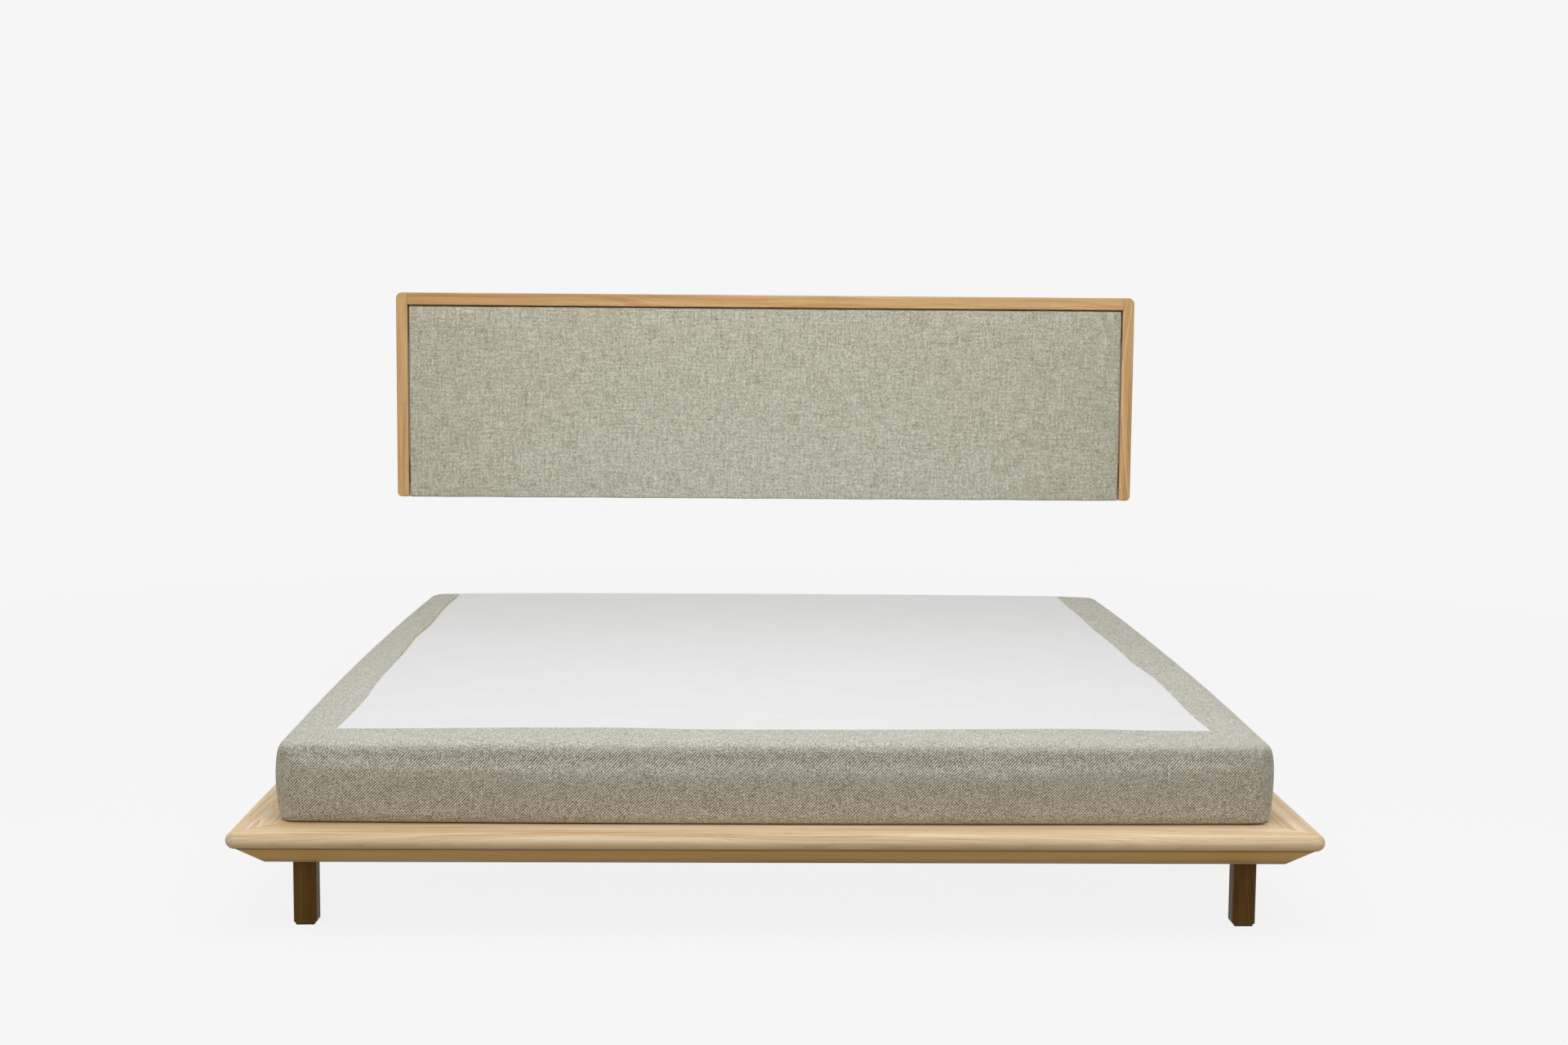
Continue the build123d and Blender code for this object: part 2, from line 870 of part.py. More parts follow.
# Pocketed springs, in rows whose pockets are joined by a strip of cloth
pocket_pitch_x = spring_field_width / pockets_across
pocket_pitch_y = spring_field_length / pockets_along
pocket_radius = (min(pocket_pitch_x, pocket_pitch_y) - pocket_gap) / 2
with BuildPart() as spring_row:
    with BuildSketch(Plane.XY.offset(base_slat_top)):
        with GridLocations(pocket_pitch_x, 0, pockets_across, 1):
            Circle(pocket_radius)
        Rectangle(pocket_pitch_x * (pockets_across - 1), pocket_web)
    extrude(amount=spring_height)

with BuildPart() as spring_unit:
    with Locations((0, base_middle_y, 0)):
        with GridLocations(0, pocket_pitch_y, 1, pockets_along):
            add(spring_row.part)
spring_unit.part.label = "spring_unit"
export_step(spring_unit.part, "parts/spring_unit.step")


def window_prism(bottom):
    """The straight-sided space over the opening that the border leaves on the top."""
    with BuildPart() as prism:
        with BuildSketch(Plane.XY.offset(bottom)):
            with Locations((0, (window_foot_y + window_head_y) / 2)):
                RectangleRounded(window_width, window_head_y - window_foot_y, window_rounding)
        extrude(amount=base_height)
    return prism.part


with BuildPart() as border_cover:
    add(base_form(0))
    add(cover_inside, mode=Mode.SUBTRACT)
    add(window_prism(felt_top), mode=Mode.SUBTRACT)
    with BuildSketch(Plane.XY.offset(cover_bottom)):
        with Locations((0, base_middle_y)):
            Rectangle(
                board_outer_width - 2 * cover_flange,
                board_outer_length - 2 * cover_flange,
            )
    extrude(amount=cover_thickness, mode=Mode.SUBTRACT)
border_cover.part.label = "border_cover"
export_step(border_cover.part, "parts/border_cover.step")

with BuildPart() as top_panel:
    add(base_form(panel_recess))
    add(cover_inside, mode=Mode.SUBTRACT)
    add(window_prism(felt_top), mode=Mode.INTERSECT)
top_panel.part.label = "top_panel"
export_step(top_panel.part, "parts/top_panel.step")

with BuildPart() as dust_cover:
    with BuildSketch(Plane.XY.offset(frame_top)):
        with Locations((0, base_middle_y)):
            RectangleRounded(
                base_width - 2 * dust_cover_inset,
                base_length - 2 * dust_cover_inset,
                window_rounding,
            )
    extrude(amount=dust_cover_thickness)
dust_cover.part.label = "dust_cover"
export_step(dust_cover.part, "parts/dust_cover.step")


# Headboard dowels: the rail, the hanging cleat and the batten all meet the stiles.
# The cleat stands right under the rail, so nothing shows through the gap over the panel.
cleat_top = top_rail_bottom
cleat_bottom = cleat_top - cleat_height
batten_bottom = headboard_bottom + batten_above_edge
batten_top = batten_bottom + batten_height
frame_depth = stile_back_y - headboard_front_y
cleat_thickness = wall_y - cleat_wall_clearance - panel_back_y
batten_thickness = stile_back_y - panel_back_y
dowel_y = panel_back_y + batten_thickness / 2
rail_middle_y = headboard_front_y + frame_depth / 2
rail_middle_z = (top_rail_bottom + headboard_top) / 2
dowel_points = [
    (rail_middle_y - dowel_spread / 2, rail_middle_z),
    (rail_middle_y + dowel_spread / 2, rail_middle_z),
    (dowel_y, (cleat_bottom + cleat_top) / 2 + dowel_spread / 2 + cleat_thickness / 2),
    (dowel_y, (cleat_bottom + cleat_top) / 2 - dowel_spread / 2 + cleat_thickness / 2),
    (dowel_y, (batten_bottom + batten_top) / 2 + dowel_spread / 2),
    (dowel_y, (batten_bottom + batten_top) / 2 - dowel_spread / 2),
]
dowel_length = dowel_in_stile + dowel_in_rail
dowel_planes = [
    Plane(
        origin=(side * (half_between_stiles + dowel_in_stile), y, z),
        z_dir=(-side, 0, 0),
    )
    for side in (-1, 1)
    for y, z in dowel_points
]


def cut_dowel_holes():
    """Holes for every dowel, cut from the part being built."""
    with Locations(*dowel_planes):
        Cylinder(
            dowel_radius + fit_clearance,
            dowel_length,
            align=(Align.CENTER, Align.CENTER, Align.MIN),
            mode=Mode.SUBTRACT,
        )


with BuildPart() as headboard_dowels:
    with Locations(*dowel_planes):
        Cylinder(
            dowel_radius,
            dowel_length,
            align=(Align.CENTER, Align.CENTER, Align.MIN),
        )
headboard_dowels.part.label = "headboard_dowels"
export_step(headboard_dowels.part, "parts/headboard_dowels.step")

# Two full-height oak stiles with rounded outer corners
for name, side in (("left_stile", -1), ("right_stile", 1)):
    with BuildPart() as stile:
        with BuildSketch(Plane.XZ.offset(-stile_back_y)) as face:
            with Locations((side * (half_headboard - stile_width / 2), 0)):
                with Locations((0, (headboard_bottom + headboard_top) / 2)):
                    Rectangle(stile_width, headboard_height)
            outer = face.vertices().sort_by(Axis.X)[0 if side < 0 else -1].X
            outer_vertices = [v for v in face.vertices() if abs(v.X - outer) < fit_clearance]
            bottom_vertex, top_vertex = sorted(outer_vertices, key=lambda v: v.Y)
            fillet(top_vertex, stile_top_rounding)
        extrude(amount=frame_depth)
        outer_bottom = (
            stile.edges()
            .filter_by(Axis.Y)
            .group_by(Axis.Z)[0]
            .sort_by(Axis.X)[0 if side < 0 else -1]
        )
        fillet(outer_bottom, stile_bottom_rounding)
        front = stile.faces().sort_by(Axis.Y)[0]
        fillet(front.edges(), headboard_arris)
        cut_dowel_holes()
    stile.part.label = name
    export_step(stile.part, f"parts/{name}.step")

with BuildPart() as top_rail:
    with BuildSketch(Plane.XY.offset(top_rail_bottom)):
        with Locations((0, rail_middle_y)):
            Rectangle(2 * half_between_stiles, frame_depth)
    extrude(amount=top_rail_height)
    front = top_rail.faces().sort_by(Axis.Y)[0]
    fillet(front.edges().filter_by(Axis.X), headboard_arris)
    top_back = top_rail.edges().filter_by(Axis.X).group_by(Axis.Z)[-1].sort_by(Axis.Y)[-1]
    fillet(top_back, headboard_arris)
    cut_dowel_holes()
top_rail.part.label = "top_rail"
export_step(top_rail.part, "parts/top_rail.step")


# Interlocking 45 degree cleats: one on the wall, one across the headboard's back
seat_front_z = cleat_bottom
seat_back_z = cleat_bottom - cleat_thickness
panel_screw_pitch = 2 * half_between_stiles / panel_screw_count
panel_screw_x = [
    (number + 0.5) * panel_screw_pitch - half_between_stiles
    for number in range(panel_screw_count)
]
cleat_screw_places = facing(
    [(x, panel_back_y + cleat_thickness, (cleat_bottom + cleat_top) / 2) for x in panel_screw_x],
    (0, 1, 0),
)
batten_screw_places = facing(
    [(x, stile_back_y, (batten_bottom + batten_top) / 2) for x in panel_screw_x],
    (0, 1, 0),
)

with BuildPart() as headboard_cleat:
    with BuildSketch(Plane.YZ.offset(-half_between_stiles)):
        with BuildLine():
            Polyline(
                (panel_back_y, seat_front_z),
                (panel_back_y, cleat_top),
                (panel_back_y + cleat_thickness, cleat_top),
                (panel_back_y + cleat_thickness, seat_back_z),
                close=True,
            )
        make_face()
    extrude(amount=2 * half_between_stiles)
    cut_dowel_holes()
    with Locations(*cleat_screw_places):
        add(panel_screw(fit_clearance), mode=Mode.SUBTRACT)
headboard_cleat.part.label = "headboard_cleat"
export_step(headboard_cleat.part, "parts/headboard_cleat.step")

wall_cleat_front_y = panel_back_y + cleat_wall_clearance
wall_seat_front_z = seat_front_z - cleat_wall_clearance - cleat_seat_clearance
wall_seat_back_z = wall_seat_front_z - (wall_y - wall_cleat_front_y)
wall_cleat_bottom = wall_seat_front_z - wall_cleat_height
wall_hole_height = (wall_cleat_bottom + wall_seat_back_z) / 2
with BuildPart() as wall_cleat:
    with BuildSketch(Plane.YZ.offset(-wall_cleat_length / 2)):
        with BuildLine():
            Polyline(
                (wall_cleat_front_y, wall_seat_front_z),
                (wall_y, wall_seat_back_z),
                (wall_y, wall_cleat_bottom),
                (wall_cleat_front_y, wall_cleat_bottom),
                close=True,
            )
        make_face()
    extrude(amount=wall_cleat_length)
    hole_xs = [
        side * spacing / 2
        for side in (-1, 1)
        for spacing in (outer_hole_spacing, inner_hole_spacing)
    ]
    with Locations(*facing([(x, wall_y, wall_hole_height) for x in hole_xs], (0, 1, 0))):
        Hole(wall_hole_radius)
wall_cleat.part.label = "wall_cleat"
export_step(wall_cleat.part, "parts/wall_cleat.step")

with BuildPart() as bottom_batten:
    with BuildSketch(Plane.XY.offset(batten_bottom)):
        with Locations((0, dowel_y)):
            Rectangle(2 * half_between_stiles, batten_thickness)
    extrude(amount=batten_height)
    cut_dowel_holes()
    with Locations(*batten_screw_places):
        add(panel_screw(fit_clearance), mode=Mode.SUBTRACT)
bottom_batten.part.label = "bottom_batten"
export_step(bottom_batten.part, "parts/bottom_batten.step")

with BuildPart() as panel_screws:
    with Locations(*cleat_screw_places, *batten_screw_places):
        add(panel_screw())
panel_screws.part.label = "panel_screws"
export_step(panel_screws.part, "parts/panel_screws.step")


# Upholstered panel: plywood, foam and cloth
def panel_form(inset):
    """The padded panel drawn in by an inset, with a softly rounded front edge."""
    front_y = headboard_front_y + panel_setback + inset
    with BuildPart() as form:
        with BuildSketch(Plane.XZ.offset(inset - panel_back_y)):
            with Locations((0, (panel_bottom + panel_top) / 2)):
                Rectangle(
                    2 * (half_panel - inset),
                    panel_top - panel_bottom - 2 * inset,
                )
        extrude(amount=panel_back_y - inset - front_y)
        front = form.faces().sort_by(Axis.Y)[0]
        fillet(front.edges(), panel_rounding - inset)
    return form.part


panel_core = panel_form(panel_cover_thickness)
backboard_front_y = panel_back_y - panel_cover_thickness - backboard_thickness
half_room = (panel_bottom + panel_top) / 2

with BuildPart() as headboard_cover:
    add(panel_form(0))
    add(panel_core, mode=Mode.SUBTRACT)
    with BuildSketch(Plane.XZ.offset(-panel_back_y)):
        with Locations((0, half_room)):
            Rectangle(
                2 * (half_panel - panel_flange),
                panel_top - panel_bottom - 2 * panel_flange,
            )
    extrude(amount=panel_cover_thickness, mode=Mode.SUBTRACT)
headboard_cover.part.label = "headboard_cover"
export_step(headboard_cover.part, "parts/headboard_cover.step")

with BuildPart() as backboard:
    add(panel_core)
    with BuildSketch(Plane.XZ.offset(-panel_back_y)):
        with Locations((0, half_room)):
            Rectangle(headboard_width, headboard_height)
    extrude(amount=panel_back_y - backboard_front_y, mode=Mode.INTERSECT)
    with Locations(*cleat_screw_places, *batten_screw_places):
        add(panel_screw(fit_clearance), mode=Mode.SUBTRACT)
backboard.part.label = "backboard"
export_step(backboard.part, "parts/backboard.step")

with BuildPart() as headboard_foam:
    add(panel_core)
    with BuildSketch(Plane.XZ.offset(-backboard_front_y)):
        with Locations((0, half_room)):
            Rectangle(headboard_width, headboard_height)
    extrude(amount=panel_depth, mode=Mode.INTERSECT)
headboard_foam.part.label = "headboard_foam"
export_step(headboard_foam.part, "parts/headboard_foam.step")

with BuildPart() as wall_bumpers:
    bumper_x = half_headboard - stile_width / 2
    bumper_z = (headboard_bottom + bumper_end_inset, headboard_top - bumper_end_inset)
    bumper_points = [(side * bumper_x, stile_back_y, z) for side in (-1, 1) for z in bumper_z]
    bumper_points += [(0, stile_back_y, (batten_bottom + batten_top) / 2)]
    with Locations(*facing(bumper_points, (0, 1, 0))):
        Cylinder(
            bumper_radius,
            bumper_thickness,
            align=(Align.CENTER, Align.CENTER, Align.MIN),
        )
wall_bumpers.part.label = "wall_bumpers"
export_step(wall_bumpers.part, "parts/wall_bumpers.step")
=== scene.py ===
import math

import bmesh
import bpy
import numpy as np
from mathutils import Matrix, Vector


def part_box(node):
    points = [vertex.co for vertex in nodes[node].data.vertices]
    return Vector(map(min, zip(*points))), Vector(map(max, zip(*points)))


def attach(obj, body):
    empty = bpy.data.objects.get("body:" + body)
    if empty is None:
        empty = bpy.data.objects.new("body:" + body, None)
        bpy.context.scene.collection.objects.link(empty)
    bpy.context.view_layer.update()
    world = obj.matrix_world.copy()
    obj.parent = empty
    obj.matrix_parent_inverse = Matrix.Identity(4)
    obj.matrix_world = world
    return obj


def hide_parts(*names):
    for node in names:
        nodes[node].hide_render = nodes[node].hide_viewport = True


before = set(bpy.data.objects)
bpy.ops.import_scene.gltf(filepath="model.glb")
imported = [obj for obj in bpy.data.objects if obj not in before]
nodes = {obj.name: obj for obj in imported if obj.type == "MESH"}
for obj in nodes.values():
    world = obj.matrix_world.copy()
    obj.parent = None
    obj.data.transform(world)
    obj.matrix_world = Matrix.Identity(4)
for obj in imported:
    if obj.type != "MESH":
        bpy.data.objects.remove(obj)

scene = bpy.context.scene
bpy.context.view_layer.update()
MM = 0.001
SAME = 1e-6
CLOTH_THICKNESS = 1.7 * MM
X, Y, Z = 0, 1, 2

# camera, worked out from the straight edges of the bed in the photograph

CAMERA_PLACE = (-0.0763, -4.8301, 1.1266)
CAMERA_TURNS = (1.2507, 5.8212, -0.4635)
CAMERA_SENSOR, CAMERA_LENS = 36, 49.784
CAMERA_REACH = 100


def make_camera():
    """The camera, from its place and its turns to the right, downward and round its own line, in degrees."""
    yaw, pitch, roll = (math.radians(turn) for turn in CAMERA_TURNS)
    ahead = Vector((math.sin(yaw) * math.cos(pitch), math.cos(yaw) * math.cos(pitch), -math.sin(pitch)))
    level = Vector((math.cos(yaw), -math.sin(yaw), 0))
    down = ahead.cross(level)
    right = math.cos(roll) * level + math.sin(roll) * down
    up = math.sin(roll) * level - math.cos(roll) * down
    data = bpy.data.cameras.new("camera")
    data.sensor_fit = "HORIZONTAL"
    data.sensor_width = CAMERA_SENSOR
    data.lens = CAMERA_LENS
    data.clip_end = CAMERA_REACH
    camera = bpy.data.objects.new("camera", data)
    turn = Matrix((right, up, -ahead)).transposed().to_4x4()
    camera.matrix_world = Matrix.Translation(CAMERA_PLACE) @ turn
    scene.collection.objects.link(camera)
    scene.camera = camera


make_camera()

# material helpers


def srgb(red, green, blue):
    """A colour as a picture shows it, from 0 to 255, in Blender's linear values."""
    linear = [c / 255 / 12.92 if c <= 10 else ((c / 255 + 0.055) / 1.055) ** 2.4 for c in (red, green, blue)]
    return (*linear, 1.0)


class Shader:
    """A material's nodes, made and joined by short calls."""

    def __init__(self, name, **uniform):
        self.material = bpy.data.materials.new(name)
        self.material.use_nodes = True
        self.nodes = self.material.node_tree.nodes
        self.links = self.material.node_tree.links
        self.surface = self.nodes["Principled BSDF"]
        for socket, value in uniform.items():
            self.surface.inputs[socket.replace("_", " ")].default_value = value

    def add(self, kind, inputs, output=0, **settings):
        node = self.nodes.new(kind)
        for key, value in settings.items():
            setattr(node, key, value)
        for key, value in inputs.items():
            if isinstance(value, bpy.types.NodeSocket):
                self.links.new(value, node.inputs[key])
            else:
                node.inputs[key].default_value = value
        return node.outputs[output]

    def math(self, operation, first, second=0.0, third=0.0):
        return self.add("ShaderNodeMath", {0: first, 1: second, 2: third}, operation=operation)

    def mix(self, share, first, second, blend="MIX"):
        inputs = {0: share, 6: first, 7: second}
        return self.add("ShaderNodeMix", inputs, 2, data_type="RGBA", blend_type=blend)

    def blend(self, share, first, second):
        return self.add("ShaderNodeMix", {0: share, 2: first, 3: second}, 0, data_type="FLOAT")

    def noise(self, place, scale, detail=2.0, roughness=0.5):
        inputs = {"Vector": place, "Scale": scale, "Detail": detail, "Roughness": roughness}
        return self.add("ShaderNodeTexNoise", inputs)

    def swing(self, value, most):
        """A value from 0 to 1 turned into one from -most to most."""
        return self.math("MULTIPLY_ADD", value, most * 2, -most)

    def random(self, place):
        return self.add("ShaderNodeTexWhiteNoise", {"Vector": place})

    def vector(self, x, y, z=0.0):
        return self.add("ShaderNodeCombineXYZ", {0: x, 1: y, 2: z})

    def parts(self, vector):
        node = self.nodes.new("ShaderNodeSeparateXYZ")
        self.links.new(vector, node.inputs[0])
        return node.outputs

    def span(self, value, low, high, new_low=0.0, new_high=1.0):
        inputs = {0: value, 1: low, 2: high, 3: new_low, 4: new_high}
        return self.add("ShaderNodeMapRange", inputs)

    def ramp(self, value, *stops):
        node = self.nodes.new("ShaderNodeValToRGB")
        self.links.new(value, node.inputs[0])
        elements = node.color_ramp.elements
        while len(elements) < len(stops):
            elements.new(0.5)
        for element, (position, colour) in zip(elements, stops):
            element.position = position
            element.color = colour
        return node.outputs[0]

    def place(self):
        """The point in the row frame, which moves with the piece."""
        return self.add("ShaderNodeTexCoord", {}, "Object")

    def cloth_place(self):
        """Across and along the cloth, in metres."""
        return self.add("ShaderNodeUVMap", {}, uv_map="cloth")

    def finish(self, colour, roughness=None, height=None, distance=0.0005, strength=1.0):
        self.links.new(colour, self.surface.inputs["Base Color"])
        if roughness is not None:
            self.links.new(roughness, self.surface.inputs["Roughness"])
        if height is not None:
            inputs = {"Strength": strength, "Distance": distance, "Height": height}
            self.links.new(self.add("ShaderNodeBump", inputs), self.surface.inputs["Normal"])
        return self.material


WOOD_GLOSS, WOOD_SHINE = 0.5, 0.2
SEED_STEP = 3.17
# painted highlight: the rails' outer faces turn paler from just under the top roundover down
NOSE_TOP, NOSE_FULL_HIGHLIGHT = 0.026, 0.018
NOSE_HIGHLIGHT_COLOUR, NOSE_HIGHLIGHT_SHARE = srgb(252, 236, 206), 0.55
# painted shade: the bevel below the crease is multiplied deeper and warmer
BEVEL_SHADE_TINT = (0.98, 0.84, 0.46, 1)
# painted shade: a dark line along the crease under each rail's nose, on the outer faces
CREASE_CORE, CREASE_REACH = 0.0008, 0.0044
CREASE_SHADE_COLOUR, CREASE_SHADE_SHARE = srgb(74, 45, 18), 0.92


def creased(s, colour, axes, crease):
    """The colour of a rail with a crease under its nose.

    The crease is given by its axis, how far out it starts and its height, and a painted shade line darkens
    it. A painted highlight makes the wood paler from the nose down, and painted shade makes it deeper in
    colour below the crease.
    """
    axis, start, level = crease
    outside = s.math("GREATER_THAN", s.math("ABSOLUTE", axes[axis]), start)
    distance = s.math("ABSOLUTE", s.math("SUBTRACT", axes[Z], level))
    # painted shade: a dark line along the crease under the nose
    line = s.math("MULTIPLY", s.span(distance, CREASE_CORE, CREASE_REACH, 1.0, 0.0), outside)
    # painted highlight: paler from the nose down, on the outer faces only
    nose = s.math("MULTIPLY", s.span(axes[Z], level + NOSE_TOP, level + NOSE_FULL_HIGHLIGHT), outside)
    # painted shade: deeper colour on the bevel below the crease
    below = s.math("MULTIPLY", s.math("LESS_THAN", axes[Z], level), outside)
    colour = s.mix(s.math("MULTIPLY", nose, NOSE_HIGHLIGHT_SHARE), colour, NOSE_HIGHLIGHT_COLOUR)
    colour = s.mix(below, colour, BEVEL_SHADE_TINT, "MULTIPLY")
    return s.mix(s.math("MULTIPLY", line, CREASE_SHADE_SHARE), colour, CREASE_SHADE_COLOUR)


def wood(name, along, seed, tones, ring=0.0042, contrast=1.0, pith=(0.16, -0.34), pores=0.5, crease=None):
    """Solid wood whose fibres run along one axis, with growth rings round a pith beside the board."""
    s = Shader(name, Roughness=WOOD_GLOSS, Specular_IOR_Level=WOOD_SHINE)
    axes = s.parts(s.place())
    others = [axis for axis in range(3) if axis != along]
    length = s.math("ADD", axes[along], seed * SEED_STEP)
    across = s.math("ADD", axes[others[0]], pith[0])
    deep = s.math("ADD", axes[others[1]], pith[1])

    def stretched(lengthways, crossways):
        scaled = ((length, lengthways), (across, crossways), (deep, crossways))
        return s.vector(*(s.math("MULTIPLY", value, scale) for value, scale in scaled))

    sway = s.swing(s.noise(stretched(0.55, 2.2), 1.6, 2.0), 0.055)
    ripple = s.swing(s.noise(stretched(4.0, 9.0), 1.0, 2.0), 0.006)
    side = s.math("ADD", s.math("ADD", across, sway), ripple)
    rise = s.math("ADD", deep, sway)
    radius = s.math("SQRT", s.math("ADD", s.math("POWER", side, 2.0), s.math("POWER", rise, 2.0)))
    turns = s.math("DIVIDE", radius, ring)
    phase = s.math("FRACT", turns)
    late = s.math("POWER", phase, 2.6)
    per_ring = s.random(s.vector(s.math("FLOOR", turns), seed))
    fibre = s.noise(stretched(5.0, 330.0), 1.0, 3.0, 0.6)
    broad = s.noise(stretched(1.4, 26.0), 1.0, 3.0, 0.55)
    tone = s.math("MULTIPLY_ADD", late, -0.20 * contrast, 0.62)
    for value, most in ((per_ring, 0.08), (fibre, 0.25), (broad, 0.31)):
        tone = s.math("ADD", tone, s.swing(value, most * contrast))
    colour = s.ramp(tone, (0.18, tones[0]), (0.46, tones[1]), (0.68, tones[2]), (0.92, tones[3]))
    pore = s.span(s.noise(stretched(42.0, 1150.0), 1.0, 1.0), 0.60, 0.70)
    early = s.span(phase, 0.0, 0.45, 1.0, 0.25)
    pore = s.math("MULTIPLY", pore, early)
    colour = s.mix(s.math("MULTIPLY", pore, pores), colour, tones[4])
    # painted highlight on the nose, painted shade on the bevel and in the crease
    if crease:
        colour = creased(s, colour, axes, crease)
    rough = s.span(fibre, 0.3, 0.7, WOOD_GLOSS - 0.07, WOOD_GLOSS + 0.10)
    height = s.math("SUBTRACT", s.math("MULTIPLY", fibre, 0.35), pore)
    return s.finish(colour, rough, height, 0.00025, 0.55)


def woven(name, pitch, tones, lean, shade=0.28, sheen=0.16, cloud=0.05, slub=0.5, step=4.0, twill=0.34,
          band=0.06, streak=(45.0, 430.0)):
    """Cloth of mottled yarns in a twill, with slubs along both directions, laid out by the cloth's own UVs."""
    s = Shader(name, Roughness=0.92, Sheen_Weight=sheen, Sheen_Roughness=0.45, Specular_IOR_Level=0.2)
    place = s.cloth_place()
    shift = s.swing(s.noise(place, 12.0, 2.0), 0.4)
    lie = s.parts(place)
    warp = s.math("ADD", s.math("DIVIDE", lie[0], pitch), shift)
    weft = s.math("SUBTRACT", s.math("DIVIDE", lie[1], pitch), shift)
    warp_no, weft_no = s.math("FLOOR", warp), s.math("FLOOR", weft)
    in_warp, in_weft = s.math("FRACT", warp), s.math("FRACT", weft)
    order = s.math("FLOORED_MODULO", s.math("MULTIPLY_ADD", weft_no, lean, warp_no), step)
    over = s.math("LESS_THAN", order, step / 2)
    across = s.blend(over, in_weft, in_warp)
    crown = s.math("SINE", s.math("MULTIPLY", across, math.pi))
    warp_place = s.vector(s.math("MULTIPLY", warp_no, 7.31), s.math("MULTIPLY", weft, 0.085))
    weft_place = s.vector(s.math("MULTIPLY", warp, 0.085), s.math("MULTIPLY", weft_no, 5.73))
    warp_slub, weft_slub = s.noise(warp_place, 1.0, 2.0, 0.6), s.noise(weft_place, 1.0, 2.0, 0.6)
    yarn = s.blend(over, weft_slub, warp_slub)
    fleck = s.random(s.vector(warp_no, weft_no, over))
    tone = s.math("ADD", s.math("MULTIPLY", yarn, slub), s.math("MULTIPLY", fleck, 1 - slub))
    tone = s.math("ADD", tone, s.swing(over, twill / 2))
    clouds = s.noise(place, 9.0, 3.0, 0.6)
    tone = s.math("ADD", tone, s.swing(clouds, cloud))
    for broad, fine in (streak, streak[::-1]):
        streak_place = s.vector(s.math("MULTIPLY", lie[0], broad), s.math("MULTIPLY", lie[1], fine))
        tone = s.math("ADD", tone, s.swing(s.noise(streak_place, 1.0, 2.0), band))
    colour = s.ramp(tone, (0.26, tones[0]), (0.46, tones[1]), (0.58, tones[2]), (0.74, tones[3]))
    depth = s.span(crown, 0.0, 0.8, 1 - shade, 1.0)
    grey = s.vector(depth, depth, depth)
    colour = s.mix(1.0, colour, grey, "MULTIPLY")
    height = s.math("MULTIPLY_ADD", crown, 0.7, s.math("MULTIPLY", tone, 0.3))
    return s.finish(colour, None, height, pitch * 0.30, 0.7)


def grained(name, tones, scale, gloss, metallic=0.0, bump=0.0002):
    """A plain material with a fine all-over grain: foam, felt, wadding, rubber, plastic or plated steel."""
    s = Shader(name, Roughness=gloss, Metallic=metallic)
    place = s.place()
    fine = s.noise(place, scale, 3.0, 0.6)
    broad = s.noise(place, scale / 14, 2.0)
    tone = s.math("MULTIPLY_ADD", broad, 0.4, s.math("MULTIPLY", fine, 0.6))
    colour = s.ramp(tone, (0.30, tones[0]), (0.70, tones[1]))
    rough = s.span(fine, 0.3, 0.7, gloss - 0.06, min(gloss + 0.08, 1.0))
    return s.finish(colour, rough, fine, bump, 0.6)


# mesh helpers


def lines(low, high, coarse, fine, edge, extra=()):
    """Grid lines from low to high, close together within edge of both ends and of the extra places."""
    marks = {low, high, *extra}
    found = []
    for a, b in zip(sorted(marks), sorted(marks)[1:]):
        at = a
        while at < b - fine * 0.6:
            found.append(at)
            near = min(at - a, max(b - at, 0))
            share = min(near / edge, 1.0)
            at += fine + (coarse - fine) * share
        if b - found[-1] < fine * 0.5 and len(found) > 1 and found[-1] > a:
            found.pop()
    found.append(high)
    return np.array(found)


def box_grid(first, second, third, hole=None):
    """The skin of a box along three sets of grid lines: corner places, quads, and each quad's side.

    A hole, given by its ends across and along, goes right through from top to bottom.
    """
    index, places, quads, sides = {}, [], [], []

    def corner(i, j, k):
        if (i, j, k) not in index:
            index[i, j, k] = len(places)
            places.append((first[i], second[j], third[k]))
        return index[i, j, k]

    def quad(side, ring, flip):
        corners = [corner(*at) for at in ring]
        quads.append(corners[::-1] if flip else corners)
        sides.append(side)

    ends = [len(first) - 1, len(second) - 1, len(third) - 1]
    if hole:
        a, b = (int(np.argmin(np.abs(first - x))) for x in hole[0])
        c, d = (int(np.argmin(np.abs(second - y))) for y in hole[1])
        for k in range(ends[2]):
            for i in range(a, b):
                quad("hole", [(i, c, k), (i + 1, c, k), (i + 1, c, k + 1), (i, c, k + 1)], True)
                quad("hole", [(i, d, k), (i + 1, d, k), (i + 1, d, k + 1), (i, d, k + 1)], False)
            for j in range(c, d):
                quad("hole", [(a, j, k), (a, j + 1, k), (a, j + 1, k + 1), (a, j, k + 1)], False)
                quad("hole", [(b, j, k), (b, j + 1, k), (b, j + 1, k + 1), (b, j, k + 1)], True)
    for side, k in (("top", ends[2]), ("bottom", 0)):
        for i in range(ends[0]):
            for j in range(ends[1]):
                if not (hole and a <= i < b and c <= j < d):
                    quad(side, [(i, j, k), (i + 1, j, k), (i + 1, j + 1, k), (i, j + 1, k)], side == "bottom")
    for side, j in (("near", 0), ("far", ends[1])):
        for i in range(ends[0]):
            for k in range(ends[2]):
                quad(side, [(i, j, k), (i + 1, j, k), (i + 1, j, k + 1), (i, j, k + 1)], side == "far")
    for side, i in (("left", 0), ("right", ends[0])):
        for j in range(ends[1]):
            for k in range(ends[2]):
                quad(side, [(i, j, k), (i, j + 1, k), (i, j + 1, k + 1), (i, j, k + 1)], side == "left")
    return np.array(places), quads, sides


def unrolled(places, quads, sides):
    """UVs in metres, corner by corner, as if the box's sides were folded flat round its top."""
    low, high = places.min(0), places.max(0)
    flat = []
    for quad, side in zip(quads, sides):
        for x, y, z in places[quad]:
            drop = high[2] - z
            if side == "near":
                flat.append((x, low[1] - drop))
            elif side == "far":
                flat.append((x, high[1] + drop))
            elif side == "left":
                flat.append((low[0] - drop, y))
            elif side == "right":
                flat.append((high[0] + drop, y))
            else:
                flat.append((x, y))
    return flat


